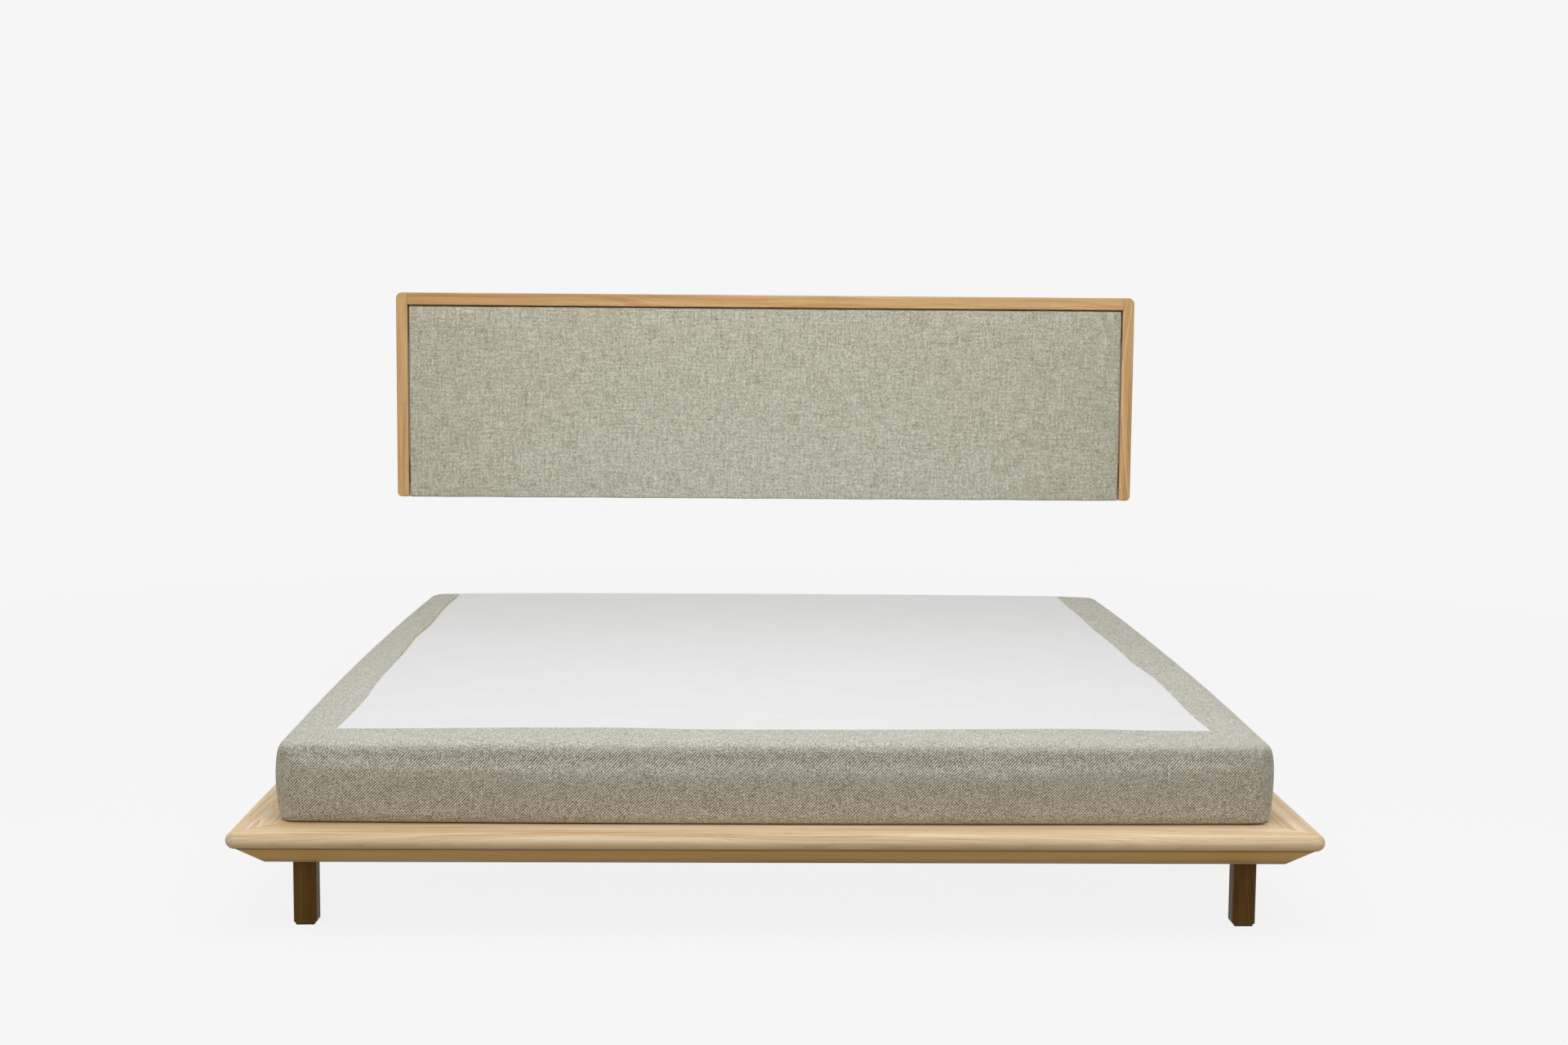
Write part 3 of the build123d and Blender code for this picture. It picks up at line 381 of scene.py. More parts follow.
def soften(places, corner, top, bottom):
    """The box's places with its upright corners, top edge and bottom edge rounded."""
    low, high = places.min(0), places.max(0)
    middle, half = (low + high) / 2, (high - low) / 2
    at = places - middle
    sign = np.where(at < 0, -1.0, 1.0)
    x, y = np.abs(at[:, 0]), np.abs(at[:, 1])
    a, b = x - (half[0] - corner), y - (half[1] - corner)
    inside = (a > 0) & (b > 0)
    reach = np.hypot(a, b)
    shrink = np.where(inside, np.maximum(a, b) / np.maximum(reach, 1e-9), 1.0)
    x = np.where(inside, half[0] - corner + a * shrink, x)
    y = np.where(inside, half[1] - corner + b * shrink, y)
    a, b = x - (half[0] - corner), y - (half[1] - corner)
    reach = np.hypot(np.maximum(a, 0), np.maximum(b, 0))
    round_it = (a > 0) & (b > 0)
    out_x = np.where(round_it, a / np.maximum(reach, 1e-9), (a >= b) * 1.0)
    out_y = np.where(round_it, b / np.maximum(reach, 1e-9), (a < b) * 1.0)
    inward = corner - np.where(round_it, reach, np.maximum(a, b))
    z = at[:, 2].copy()
    for radius, depth, way in ((top, half[2] - z, 1), (bottom, z + half[2], -1)):
        a, b = radius - inward, radius - depth
        near = (a > 0) & (b > 0)
        scale = np.where(near, np.maximum(a, b) / np.maximum(np.hypot(a, b), 1e-9), 1.0)
        pushed = np.where(near, radius - a * scale, inward)
        z = np.where(near, way * (half[2] - (radius - b * scale)), z)
        x, y = x + out_x * (inward - pushed), y + out_y * (inward - pushed)
        inward = pushed
    return np.stack([x * sign[:, 0], y * sign[:, 1], z], 1) + middle


def smooth_curve(at, knots):
    """A smooth line through (place, value) knots, read at the given places."""
    spots, values = (np.array(column, float) for column in zip(*knots))
    slopes = np.gradient(values, spots)
    at = np.clip(at, spots[0], spots[-1])
    left = np.clip(np.searchsorted(spots, at) - 1, 0, len(spots) - 2)
    width = spots[left + 1] - spots[left]
    t = (at - spots[left]) / width
    start, end = values[left], values[left + 1]
    turn = (2 * t**3 - 3 * t**2 + 1) * start + (-2 * t**3 + 3 * t**2) * end
    return turn + width * ((t**3 - 2 * t**2 + t) * slopes[left] + (t**3 - t**2) * slopes[left + 1])


def make_piece(name, places, quads, material, body, flat=None, level=0):
    """A smooth mesh object that rides on a body, with its cloth UVs and subdivision."""
    mesh = bpy.data.meshes.new(name)
    mesh.from_pydata([tuple(p) for p in places], [], [list(q) for q in quads])
    if flat is not None:
        layer = mesh.uv_layers.new(name="cloth")
        layer.data.foreach_set("uv", np.array(flat, np.float32).ravel())
    mesh.materials.append(material)
    mesh.polygons.foreach_set("use_smooth", [True] * len(mesh.polygons))
    mesh.validate()
    piece = bpy.data.objects.new(name, mesh)
    scene.collection.objects.link(piece)
    if level:
        modifier = piece.modifiers.new("subdivision", "SUBSURF")
        modifier.levels = modifier.render_levels = level
    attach(piece, body)
    return piece


def used_only(places, quads):
    """The places that the quads use, with the quads renumbered."""
    used = np.unique(np.concatenate([np.array(q) for q in quads]))
    number = np.full(len(places), -1)
    number[used] = np.arange(len(used))
    return places[used], [[int(number[c]) for c in q] for q in quads]


SWELL_PRESSURE, SWELL_FRAMES = 4.0, 20
CLOTH_STIFFNESS, CLOTH_BENDING, CLOTH_QUALITY = 25, 0.8, 4


def swell(places, quads, held, most):
    """The skin blown up as a stuffed cover, by cloth simulation. No place moves further than its limit."""
    mesh = bpy.data.meshes.new("swell")
    mesh.from_pydata([tuple(p) for p in places], [], [list(q) for q in quads])
    skin = bpy.data.objects.new("swell", mesh)
    scene.collection.objects.link(skin)
    group = skin.vertex_groups.new(name="held")
    group.add([int(i) for i in held], 1.0, "REPLACE")
    cloth = skin.modifiers.new("cloth", "CLOTH")
    cloth.settings.vertex_group_mass = "held"
    cloth.settings.use_pressure = True
    cloth.settings.uniform_pressure_force = SWELL_PRESSURE
    cloth.settings.effector_weights.gravity = 0
    cloth.settings.tension_stiffness = cloth.settings.compression_stiffness = CLOTH_STIFFNESS
    cloth.settings.bending_stiffness = CLOTH_BENDING
    cloth.settings.quality = CLOTH_QUALITY
    cloth.point_cache.frame_start = 1
    cloth.point_cache.frame_end = SWELL_FRAMES
    for number in range(1, SWELL_FRAMES + 1):
        scene.frame_set(number)
    found = skin.evaluated_get(bpy.context.evaluated_depsgraph_get()).to_mesh()
    after = np.zeros(len(places) * 3)
    found.vertices.foreach_get("co", after)
    move = after.reshape(-1, 3) - places
    size = np.linalg.norm(move, axis=1)
    move *= (np.minimum(size, most) / np.maximum(size, 1e-9))[:, None]
    bpy.data.objects.remove(skin)
    scene.frame_set(1)
    return places + move


# materials

frame_tones = (
    srgb(178, 142, 98), srgb(212, 183, 142), srgb(229, 206, 170), srgb(241, 222, 192), srgb(130, 96, 58),
)
# painted shade: the legs use the rails' oak made darker and warmer, as it looks in shade under the frame
shaded_leg_tones = (
    srgb(66, 42, 10), srgb(92, 63, 19), srgb(114, 82, 28), srgb(136, 101, 40), srgb(42, 25, 7),
)
head_tones = (
    srgb(178, 134, 84), srgb(210, 168, 116), srgb(224, 187, 137), srgb(236, 203, 158), srgb(138, 96, 56),
)
pine_tones = (
    srgb(196, 152, 98), srgb(222, 186, 134), srgb(234, 204, 158), srgb(242, 218, 178), srgb(184, 136, 84),
)
ply_tones = (
    srgb(176, 142, 98), srgb(204, 172, 128), srgb(216, 188, 146), srgb(226, 202, 164), srgb(160, 124, 84),
)
beech_tones = (
    srgb(186, 142, 102), srgb(208, 168, 128), srgb(218, 182, 144), srgb(228, 196, 162), srgb(170, 124, 86),
)

FOOT_CREASE, HEAD_CREASE, SIDE_CREASE = (Y, 1.04, 0.160), (Y, 1.03, 0.160), (X, 0.93, 0.160)
wood_nodes = {
    "foot_rail": wood("oak_foot_rail", X, 1, frame_tones, contrast=1.55, crease=FOOT_CREASE),
    "head_rail": wood("oak_head_rail", X, 2, frame_tones, contrast=1.55, crease=HEAD_CREASE),
    "left_rail": wood("oak_left_rail", Y, 3, frame_tones, contrast=1.5, pith=(0.93, -0.20), crease=SIDE_CREASE),
    "right_rail": wood("oak_right_rail", Y, 4, frame_tones, contrast=1.4, pith=(-0.80, -0.24), crease=SIDE_CREASE),
    "front_left_leg": wood("oak_leg_1", Z, 5, shaded_leg_tones, ring=0.003, pith=(1.0, 1.2)),
    "front_right_leg": wood("oak_leg_2", Z, 6, shaded_leg_tones, ring=0.003, pith=(-0.7, 1.2)),
    "rear_left_leg": wood("oak_leg_3", Z, 7, shaded_leg_tones, ring=0.003, pith=(1.0, -0.7)),
    "rear_right_leg": wood("oak_leg_4", Z, 8, shaded_leg_tones, ring=0.003, pith=(-0.7, -0.8)),
    "left_stile": wood("oak_left_stile", Z, 9, head_tones, contrast=1.5, ring=0.0034, pith=(1.08, -0.9)),
    "right_stile": wood("oak_right_stile", Z, 10, head_tones, contrast=1.5, ring=0.0034, pith=(-0.9, -0.94)),
    "top_rail": wood("oak_top_rail", X, 11, head_tones, contrast=1.5, ring=0.0034, pith=(-0.92, -1.0)),
    "mitre_tongues": wood("oak_tongues", Z, 12, frame_tones),
    "left_ledge": wood("pine_left_ledge", Y, 13, pine_tones, ring=0.005, pores=0.0),
    "right_ledge": wood("pine_right_ledge", Y, 14, pine_tones, ring=0.005, pores=0.0),
    "centre_beam": wood("pine_beam", Y, 15, pine_tones, ring=0.005, pores=0.0),
    "centre_leg": wood("oak_centre_leg", Z, 16, shaded_leg_tones, ring=0.003, pith=(0.2, 0.2)),
    "base_left_board": wood("pine_left_board", Y, 17, pine_tones, ring=0.005, pores=0.0),
    "base_right_board": wood("pine_right_board", Y, 18, pine_tones, ring=0.005, pores=0.0),
    "base_foot_board": wood("pine_foot_board", X, 19, pine_tones, ring=0.005, pores=0.0),
    "base_head_board": wood("pine_head_board", X, 20, pine_tones, ring=0.005, pores=0.0),
    "base_corner_blocks": wood("pine_blocks", Z, 21, pine_tones, ring=0.005, pores=0.0),
    "headboard_dowels": wood("beech_dowels", X, 22, beech_tones, ring=0.003),
    "headboard_cleat": wood("beech_headboard_cleat", X, 23, beech_tones, ring=0.003),
    "wall_cleat": wood("beech_wall_cleat", X, 24, beech_tones, ring=0.003),
    "bottom_batten": wood("beech_batten", X, 25, beech_tones, ring=0.003),
    "backboard": wood("plywood", X, 26, ply_tones, ring=0.02, contrast=0.8, pores=0.2),
}
slat_woods = [
    wood(f"pine_slat_{number}", X, 30 + number, pine_tones, ring=0.005, pith=(0.4 * number, -0.3), pores=0.0)
    for number in range(3)
]
for number in range(10):
    wood_nodes[f"slat_{number + 1:02d}"] = slat_woods[number % 3]
wood_nodes["base_slats"] = slat_woods[0]

steel = grained("zinc_steel", (srgb(150, 152, 156), srgb(196, 198, 202)), 900, 0.34, 1.0, 0.00003)
black_plastic = grained("black_plastic", (srgb(24, 24, 25), srgb(38, 38, 40)), 2400, 0.48)
rubber = grained("bumper_rubber", (srgb(34, 33, 32), srgb(50, 48, 46)), 1500, 0.75)
glide_felt = grained("glide_felt", (srgb(34, 30, 26), srgb(62, 55, 47)), 1800, 0.96, bump=0.0005)
grey_felt = grained("grey_felt", (srgb(98, 98, 102), srgb(142, 142, 146)), 500, 0.97, bump=0.0008)
foam = grained("foam", (srgb(222, 214, 180), srgb(244, 239, 214)), 700, 0.95, bump=0.0006)
wadding = grained("wadding", (srgb(222, 222, 216), srgb(244, 244, 240)), 260, 0.97, bump=0.0015)
pocket_cloth = grained("pocket_cloth", (srgb(214, 215, 214), srgb(236, 236, 235)), 1100, 0.9, bump=0.0003)
dust_cloth = grained("dust_cloth", (srgb(26, 26, 27), srgb(50, 50, 52)), 620, 0.9, bump=0.0004)

base_fabric = woven(
    "base_fabric",
    0.0014,
    (srgb(106, 103, 85), srgb(178, 176, 159), srgb(224, 223, 209), srgb(250, 249, 241)),
    -1.0,
    band=0.12,
)
head_fabric = woven(
    "headboard_fabric",
    0.0014,
    (srgb(146, 144, 122), srgb(196, 194, 172), srgb(222, 221, 204), srgb(241, 240, 228)),
    1.0,
    slub=0.42,
    cloud=0.03,
    twill=0.10,
    band=0.21,
    streak=(18.0, 210.0),
)
white_cloth = woven(
    "white_cotton",
    0.0009,
    (srgb(222, 223, 224), srgb(230, 231, 231), srgb(235, 236, 236), srgb(240, 241, 241)),
    1.0,
    shade=0.06,
    sheen=0.05,
    cloud=0.10,
    slub=0.6,
    step=2.0,
    twill=0.05,
)

for node, material in wood_nodes.items():
    nodes[node].material_slots[0].material = material
steel_nodes = ("corner_brackets", "bracket_screws", "ledge_screws", "beam_shoes", "slat_screws", "leg_inserts",
               "leg_bolts", "centre_foot_stem", "panel_screws")
for node in steel_nodes:
    nodes[node].material_slots[0].material = steel
nodes["centre_foot_pad"].material_slots[0].material = black_plastic
nodes["wall_bumpers"].material_slots[0].material = rubber

# the base's cover and white top

base_low, base_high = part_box("border_cover")
HALF_BASE = 0.900
BASE_NEAR, BASE_FAR = -1.005, 0.995
BASE_BOTTOM = base_low.z
BASE_TOP = base_high.z
BASE_MIDDLE = (BASE_NEAR + BASE_FAR) / 2
HALF_LENGTH = (BASE_FAR - BASE_NEAR) / 2
BASE_CROWN = 4 * MM
BASE_CORNER = 34 * MM
COVER_TOP_EDGE, COVER_LOW_EDGE = 20 * MM, 8 * MM
COVER_GRID = (26 * MM, 3.5 * MM, 60 * MM)
SWELL_ON_TOP, SWELL_MORE_BELOW, SWELL_BLEND = 1.5 * MM, 2.5 * MM, 0.25
SIDE_BOW, FOOT_BOW, HEAD_BOW = 14 * MM, 10 * MM, 3 * MM
BELLY, DRAWN_IN = 3.0 * MM, 4.5 * MM
RIPPLES = ((1.1 * MM, 9.0, 4.0, 2.0), (0.7 * MM, 23.0, -17.0, 0.0))
RIM_PLACE, RIM_WIDTH = 0.955, 0.06
SEAM_DEPTH, SEAM_WIDTH = 1.1 * MM, 1.6 * MM
PULL_REACH = 0.07
WINDOW_HALF = 0.805
WINDOW_NEAR, WINDOW_FAR = -0.875, 0.985
left_window_edge = [
    (-0.88, -0.812), (-0.75, -0.806), (-0.57, -0.803), (-0.38, -0.808), (-0.13, -0.809), (0.07, -0.813),
    (0.23, -0.818), (0.42, -0.813), (0.62, -0.819), (0.80, -0.823), (0.99, -0.818),
]
right_window_edge = [
    (-0.88, 0.809), (-0.72, 0.801), (-0.50, 0.802), (-0.25, 0.800), (-0.12, 0.791), (0.08, 0.791),
    (0.25, 0.790), (0.40, 0.786), (0.62, 0.790), (0.80, 0.788), (0.99, 0.792),
]
near_window_edge = [
    (-0.82, -0.876), (-0.68, -0.874), (-0.50, -0.866), (-0.32, -0.864), (-0.12, -0.879), (0.05, -0.878),
    (0.22, -0.874), (0.38, -0.865), (0.55, -0.856), (0.68, -0.866), (0.82, -0.868),
]


def window_pull(places):
    """How the border's edge wanders: the places near the window's lines move with it."""
    x, y = places[:, 0], places[:, 1]

    def near_to(distance):
        return np.clip(1 - np.abs(distance) / PULL_REACH, 0, 1)

    left = (smooth_curve(y, left_window_edge) + WINDOW_HALF) * near_to(x + WINDOW_HALF)
    right = (smooth_curve(y, right_window_edge) - WINDOW_HALF) * near_to(x - WINDOW_HALF)
    near = (smooth_curve(x, near_window_edge) - WINDOW_NEAR) * near_to(y - WINDOW_NEAR)
    return left + right, near


def lie_of_base(sharp, places):
    """The softened box given the real base's bowed sides, crown and slack."""
    x, y, z = places.T.copy()
    up = (z - BASE_BOTTOM) / (BASE_TOP - BASE_BOTTOM)
    along_x, along_y = x / HALF_BASE, (y - BASE_MIDDLE) / HALF_LENGTH
    edge = np.maximum(np.abs(along_x), np.abs(along_y))
    new_x = x + SIDE_BOW * (1 - np.clip(along_y, -1, 1) ** 2) * along_x
    near, far = np.clip(-along_y, 0, 1), np.clip(along_y, 0, 1)
    across = 1 - np.clip(along_x, -1, 1) ** 2
    new_y = y - FOOT_BOW * across * near + HEAD_BOW * across * far
    new_z = z - BASE_CROWN * np.clip(np.abs(along_x), 0, 1) ** 2 * up
    between = np.sin(np.pi * np.clip(up, 0, 1))
    belly = BELLY * between**1.5 - DRAWN_IN * (1 - up) ** 2.5
    for size, by_x, by_y, start in RIPPLES:
        belly += size * np.sin(by_x * x + by_y * y + start) * between
    side_x, side_y = np.abs(along_x) > np.abs(along_y) * 0.985, np.abs(along_y) > np.abs(along_x) * 0.985
    new_x += np.sign(x) * belly * side_x * edge**6
    new_y += np.sign(along_y) * belly * side_y * edge**6
    rim = np.clip(1 - np.abs(edge - RIM_PLACE) / RIM_WIDTH, 0, 1) * (up > 0.9)
    wave = 0.8 * MM * np.sin(11.0 * x + 1.0) * np.sin(7.0 * y + 0.6) + 0.4 * MM * np.sin(31.0 * (x + y))
    new_z += rim * wave
    return np.stack([new_x, new_y, new_z], 1)


def hump(at, middle, width):
    """A smooth hump of height 1."""
    return np.exp(-(((at - middle) / width) ** 2))


def corner_tucks(places):
    """A sewn corner line down each upright corner, with a small pleat at its foot."""
    centre = np.array([HALF_BASE - BASE_CORNER, HALF_LENGTH - BASE_CORNER])
    at = np.stack([np.abs(places[:, 0]), np.abs(places[:, 1] - BASE_MIDDLE)], 1) - centre
    near = (at[:, 0] > -0.03) & (at[:, 1] > -0.03) & (np.hypot(*at.T) > 0.012)
    angle = np.arctan2(np.maximum(at[:, 1], 1e-6), np.maximum(at[:, 0], 1e-6))
    round_it = (angle - math.pi / 4) * BASE_CORNER
    up = (places[:, 2] - BASE_BOTTOM) / (BASE_TOP - BASE_BOTTOM)
    seam = -SEAM_DEPTH * hump(round_it, 0, SEAM_WIDTH) * np.clip((0.97 - up) / 0.05, 0, 1)
    low = np.clip((0.34 - up) / 0.30, 0, 1)
    fold = 2.4 * MM * hump(round_it, 5.5 * MM, 4.0 * MM)
    pleat = low * (fold - 2.6 * MM * hump(round_it, -3.0 * MM, 2.4 * MM))
    pucker = 0.5 * MM * np.sin(places[:, 2] * 620.0) * hump(round_it, 0, 7 * MM) * (up < 0.95)
    push = np.where(near, seam + pleat + pucker, 0.0)
    out = at / np.maximum(np.hypot(*at.T), 1e-6)[:, None]
    moved = places.copy()
    moved[:, 0] += np.sign(places[:, 0]) * out[:, 0] * push
    moved[:, 1] += np.sign(places[:, 1] - BASE_MIDDLE) * out[:, 1] * push
    return moved


def make_base():
    """The border cover in one piece, open over the white panel and under the base."""
    across = lines(-HALF_BASE, HALF_BASE, *COVER_GRID, (-WINDOW_HALF, WINDOW_HALF))
    along = lines(BASE_NEAR, BASE_FAR, *COVER_GRID, (WINDOW_NEAR, WINDOW_FAR))
    upward = lines(BASE_BOTTOM, BASE_TOP, 9 * MM, 3 * MM, 24 * MM)
    sharp, quads, sides = box_grid(across, along, upward)
    flat = unrolled(sharp, quads, sides)
    places = lie_of_base(sharp, soften(sharp, BASE_CORNER, COVER_TOP_EDGE, COVER_LOW_EDGE))
    on_top = sharp[:, 2] > BASE_TOP - SAME
    window = (np.abs(sharp[:, 0]) < WINDOW_HALF + SAME) & (sharp[:, 1] > WINDOW_NEAR - SAME)
    window &= (sharp[:, 1] < WINDOW_FAR + SAME) & on_top
    underside = sharp[:, 2] < BASE_BOTTOM + SAME
    up = (sharp[:, 2] - BASE_BOTTOM) / (BASE_TOP - BASE_BOTTOM)
    most = SWELL_ON_TOP + SWELL_MORE_BELOW * np.clip((1 - up) / SWELL_BLEND, 0, 1)
    places = swell(places, quads, np.where(window | underside)[0], most)
    places = corner_tucks(places)
    move_x, move_y = window_pull(sharp)
    places[:, 0] += move_x * on_top
    places[:, 1] += move_y * on_top * (sharp[:, 1] < 0)

    flange = 32 * MM
    keep = []
    for number, (quad, side) in enumerate(zip(quads, sides)):
        x, y, _ = sharp[quad].mean(0)
        in_window = abs(x) < WINDOW_HALF and WINDOW_NEAR < y < WINDOW_FAR
        if side == "top" and in_window:
            continue
        in_middle = abs(x) < HALF_BASE - flange and BASE_NEAR + flange < y < BASE_FAR - flange
        if not (side == "bottom" and in_middle):
            keep.append(number)
    cover_places, cover_quads = used_only(places, [quads[n] for n in keep])
    corner_flat = [flat[4 * n + c] for n in keep for c in range(4)]
    cover = make_piece("base_border_cover", cover_places, cover_quads, base_fabric, "base",
                       corner_flat, 1)
    turn_edge_down(cover, CLOTH_THICKNESS)
    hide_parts("border_cover")


EDGE_ROLL = ((0.35, -0.30), (0.75, 0.10), (0.35, 1.6))
SIDE_WANDER, NEAR_WANDER, FAR_WANDER = 0.035, 0.022, 0.008


def turn_edge_down(cover, thickness):
    """The border's folded edge round the window: it rolls down on to the white panel."""
    mesh = bmesh.new()
    mesh.from_mesh(cover.data)
    mesh.verts.ensure_lookup_table()
    layer = mesh.loops.layers.uv["cloth"]
    rim = [e for e in mesh.edges if e.is_boundary and min(v.co.z for v in e.verts) > BASE_TOP - 12 * MM]
    for drop, back in EDGE_ROLL:
        made = bmesh.ops.extrude_edge_only(mesh, edges=rim)["geom"]
        verts = [g for g in made if isinstance(g, bmesh.types.BMVert)]
        for vert in verts:
            way = Vector((0, 0, 0))
            if abs(abs(vert.co.x) - WINDOW_HALF) < SIDE_WANDER:
                way.x = math.copysign(1, vert.co.x)
            if abs(vert.co.y - WINDOW_NEAR) < NEAR_WANDER:
                way.y = -1
            if abs(vert.co.y - WINDOW_FAR) < FAR_WANDER:
                way.y = 1
            vert.co += way.normalized() * back * thickness if way.length else Vector((0, 0, 0))
            vert.co.z -= drop * thickness
        faces = [g for g in made if isinstance(g, bmesh.types.BMFace)]
        for face in faces:
            face.smooth = True
            for loop in face.loops:
                loop[layer].uv = (loop.vert.co.x, loop.vert.co.y)
        rim = [g for g in made if isinstance(g, bmesh.types.BMEdge) and g.is_boundary]
    bmesh.ops.recalc_face_normals(mesh, faces=mesh.faces)
    mesh.to_mesh(cover.data)
    mesh.free()


WHITE_MARGIN, WHITE_HEAD_GAP = 16 * MM, 4 * MM
WHITE_SINK = 1.3 * MM


def make_white_panel():
    """The white top panel, drawn flat over the foam and just under the border's edge."""
    across = np.linspace(-WINDOW_HALF - WHITE_MARGIN, WINDOW_HALF + WHITE_MARGIN, 90)
    along = np.linspace(WINDOW_NEAR - WHITE_MARGIN, BASE_FAR - WHITE_HEAD_GAP, 100)
    x, y = np.meshgrid(across, along, indexing="ij")
    z = BASE_TOP - BASE_CROWN * (x / HALF_BASE) ** 2 - WHITE_SINK
    z += 0.35 * MM * np.sin(5.1 * x + 1.3) * np.sin(4.3 * y) + 0.15 * MM * np.sin(19 * x) * np.sin(15 * y + 1)
    places = np.stack([x.ravel(), y.ravel(), z.ravel()], 1)
    count = len(along)
    quads = [(i * count + j, (i + 1) * count + j, (i + 1) * count + j + 1, i * count + j + 1)
             for i in range(len(across) - 1) for j in range(count - 1)]
    flat = [tuple(places[c, :2]) for q in quads for c in q]
    panel = make_piece("white_top_panel", places, quads, white_cloth, "base", flat, 1)
    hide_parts("top_panel")


make_base()
make_white_panel()

# the headboard's padded panel

PANEL_HALF = 0.9625
PANEL_FRONT, PANEL_BACK = 1.041, 1.065
PANEL_BOTTOM, PANEL_TOP = 0.591, 1.1075
PAD_ROUNDING = (3 * MM, 4 * MM, 1.5 * MM)
PAD_CROWN = 1.6 * MM
PAD_SWELL_FRONT, PAD_SWELL_SIDE = 1.3 * MM, 0.9 * MM


def make_headboard_pad():
    """The covered panel between the stiles: a thin crowned cushion with tight edges and a flange behind."""
    across = lines(-PANEL_HALF, PANEL_HALF, 22 * MM, 2.4 * MM, 40 * MM)
    upward = lines(PANEL_BOTTOM, PANEL_TOP, 16 * MM, 2.4 * MM, 40 * MM)
    deep = lines(0.0, PANEL_BACK - PANEL_FRONT - 2.5 * MM, 5 * MM, 2 * MM, 10 * MM)
    sharp, quads, sides = box_grid(across, upward, deep)
    flat = unrolled(sharp, quads, sides)
    places = soften(sharp, *PAD_ROUNDING)
    front = sharp[:, 2] > deep[-1] - SAME
    x_share = sharp[:, 0] / PANEL_HALF
    z_share = (sharp[:, 1] - upward.mean()) / (upward[-1] - upward[0]) * 2
    places[:, 2] += PAD_CROWN * (1 - x_share**4) * (1 - z_share**4) * front
    back = sharp[:, 2] < SAME
    most = np.where(front, PAD_SWELL_FRONT, PAD_SWELL_SIDE)
    places = swell(places, quads, np.where(back)[0], most)
    wave = np.sin(31 * sharp[:, 0]) * np.sin(9 * sharp[:, 0] + 2)
    near_low, near_high = sharp[:, 1] < PANEL_BOTTOM + 30 * MM, sharp[:, 1] > PANEL_TOP - 30 * MM
    places[:, 1] += (0.5 * MM * wave * near_low - 0.4 * MM * wave * near_high) * (~back)
    flange = 30 * MM
    keep = []
    for number, (quad, side) in enumerate(zip(quads, sides)):
        x, y, _ = sharp[quad].mean(0)
        in_middle = abs(x) < PANEL_HALF - flange and PANEL_BOTTOM + flange < y < PANEL_TOP - flange
        if not (side == "bottom" and in_middle):
            keep.append(number)
    world = np.stack([places[:, 0], PANEL_BACK - places[:, 2], places[:, 1]], 1)
    cover_places, cover_quads = used_only(world, [quads[n] for n in keep])
    corner_flat = [flat[4 * n + c] for n in keep for c in range(4)]
    pad = make_piece("headboard_pad_cover", cover_places, cover_quads, head_fabric, "headboard",
                     corner_flat, 1)
    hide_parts("headboard_cover")


make_headboard_pad()

# the dust cover under the base


def make_dust_cover():
    """The thin dark cloth under the base, with a faint ripple that fades out at its edges."""
    low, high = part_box("dust_cover")
    across = np.linspace(low.x, high.x, 70)
    along = np.linspace(low.y, high.y, 78)
    x, y = np.meshgrid(across, along, indexing="ij")
    edge = np.minimum(np.minimum(x - low.x, high.x - x), np.minimum(y - low.y, high.y - y))
    z = np.full_like(x, (low.z + high.z) / 2) + 0.25 * MM * np.sin(13 * x + 2 * y) * np.clip(edge / 0.03, 0, 1)
    places = np.stack([x.ravel(), y.ravel(), z.ravel()], 1)
    count = len(along)
    quads = [(i * count + j, i * count + j + 1, (i + 1) * count + j + 1, (i + 1) * count + j)
             for i in range(len(across) - 1) for j in range(count - 1)]
    flat = [tuple(places[c, :2]) for q in quads for c in q]
    cloth = make_piece("base_dust_cloth", places, quads, dust_cloth, "base", flat)
    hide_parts("dust_cover")


make_dust_cover()

# felt glides and the soft parts inside


def islands(node):
    """The lowest and highest corner of each separate solid in a CAD node."""
    mesh = bmesh.new()
    mesh.from_mesh(nodes[node].data)
    bmesh.ops.remove_doubles(mesh, verts=mesh.verts, dist=SAME)
    left, found = set(mesh.verts), []
    while left:
        stack, group = [left.pop()], []
        while stack:
            vert = stack.pop()
            group.append(vert.co.copy())
            for edge in vert.link_edges:
                other = edge.other_vert(vert)
                if other in left:
                    left.remove(other)
                    stack.append(other)
        found.append((Vector(map(min, *group)), Vector(map(max, *group))))
    mesh.free()
    return sorted(found, key=lambda box: (round(box[0].x, 3), round(box[0].y, 3)))


def soft_block(low, high, radius, spacing, rough):
    """A block with soft edges and an uneven surface: its places and quads."""
    grid = (lines(low[a], high[a], spacing, min(radius, spacing), 3 * radius) for a in range(3))
    sharp, quads, _ = box_grid(*grid)
    places = soften(sharp, radius, radius, radius)
    wave = np.sin(places @ np.array([91.0, 57.0, 133.0])) * np.sin(places @ np.array([37.0, -83.0, 71.0]))
    middle = (np.array(low) + np.array(high)) / 2
    out = np.sign(places - middle) * (np.abs(sharp - middle) > (np.array(high) - np.array(low)) / 2 - 1e-6)
    return places - out * (np.abs(wave) * rough)[:, None], quads


def make_glides():
    for number, (low, high) in enumerate(islands("leg_glides")):
        places, quads = soft_block(low, high, 1.2 * MM, 4 * MM, 0.15 * MM)
        pad = make_piece(f"felt_glide_{number + 1}", places, quads, glide_felt, "frame", level=1)
        if number == 0:
            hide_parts("leg_glides")


LAYER_GRID = (60 * MM, 6 * MM, 60 * MM)
LAYER_CORNER = BASE_CORNER + 4 * MM


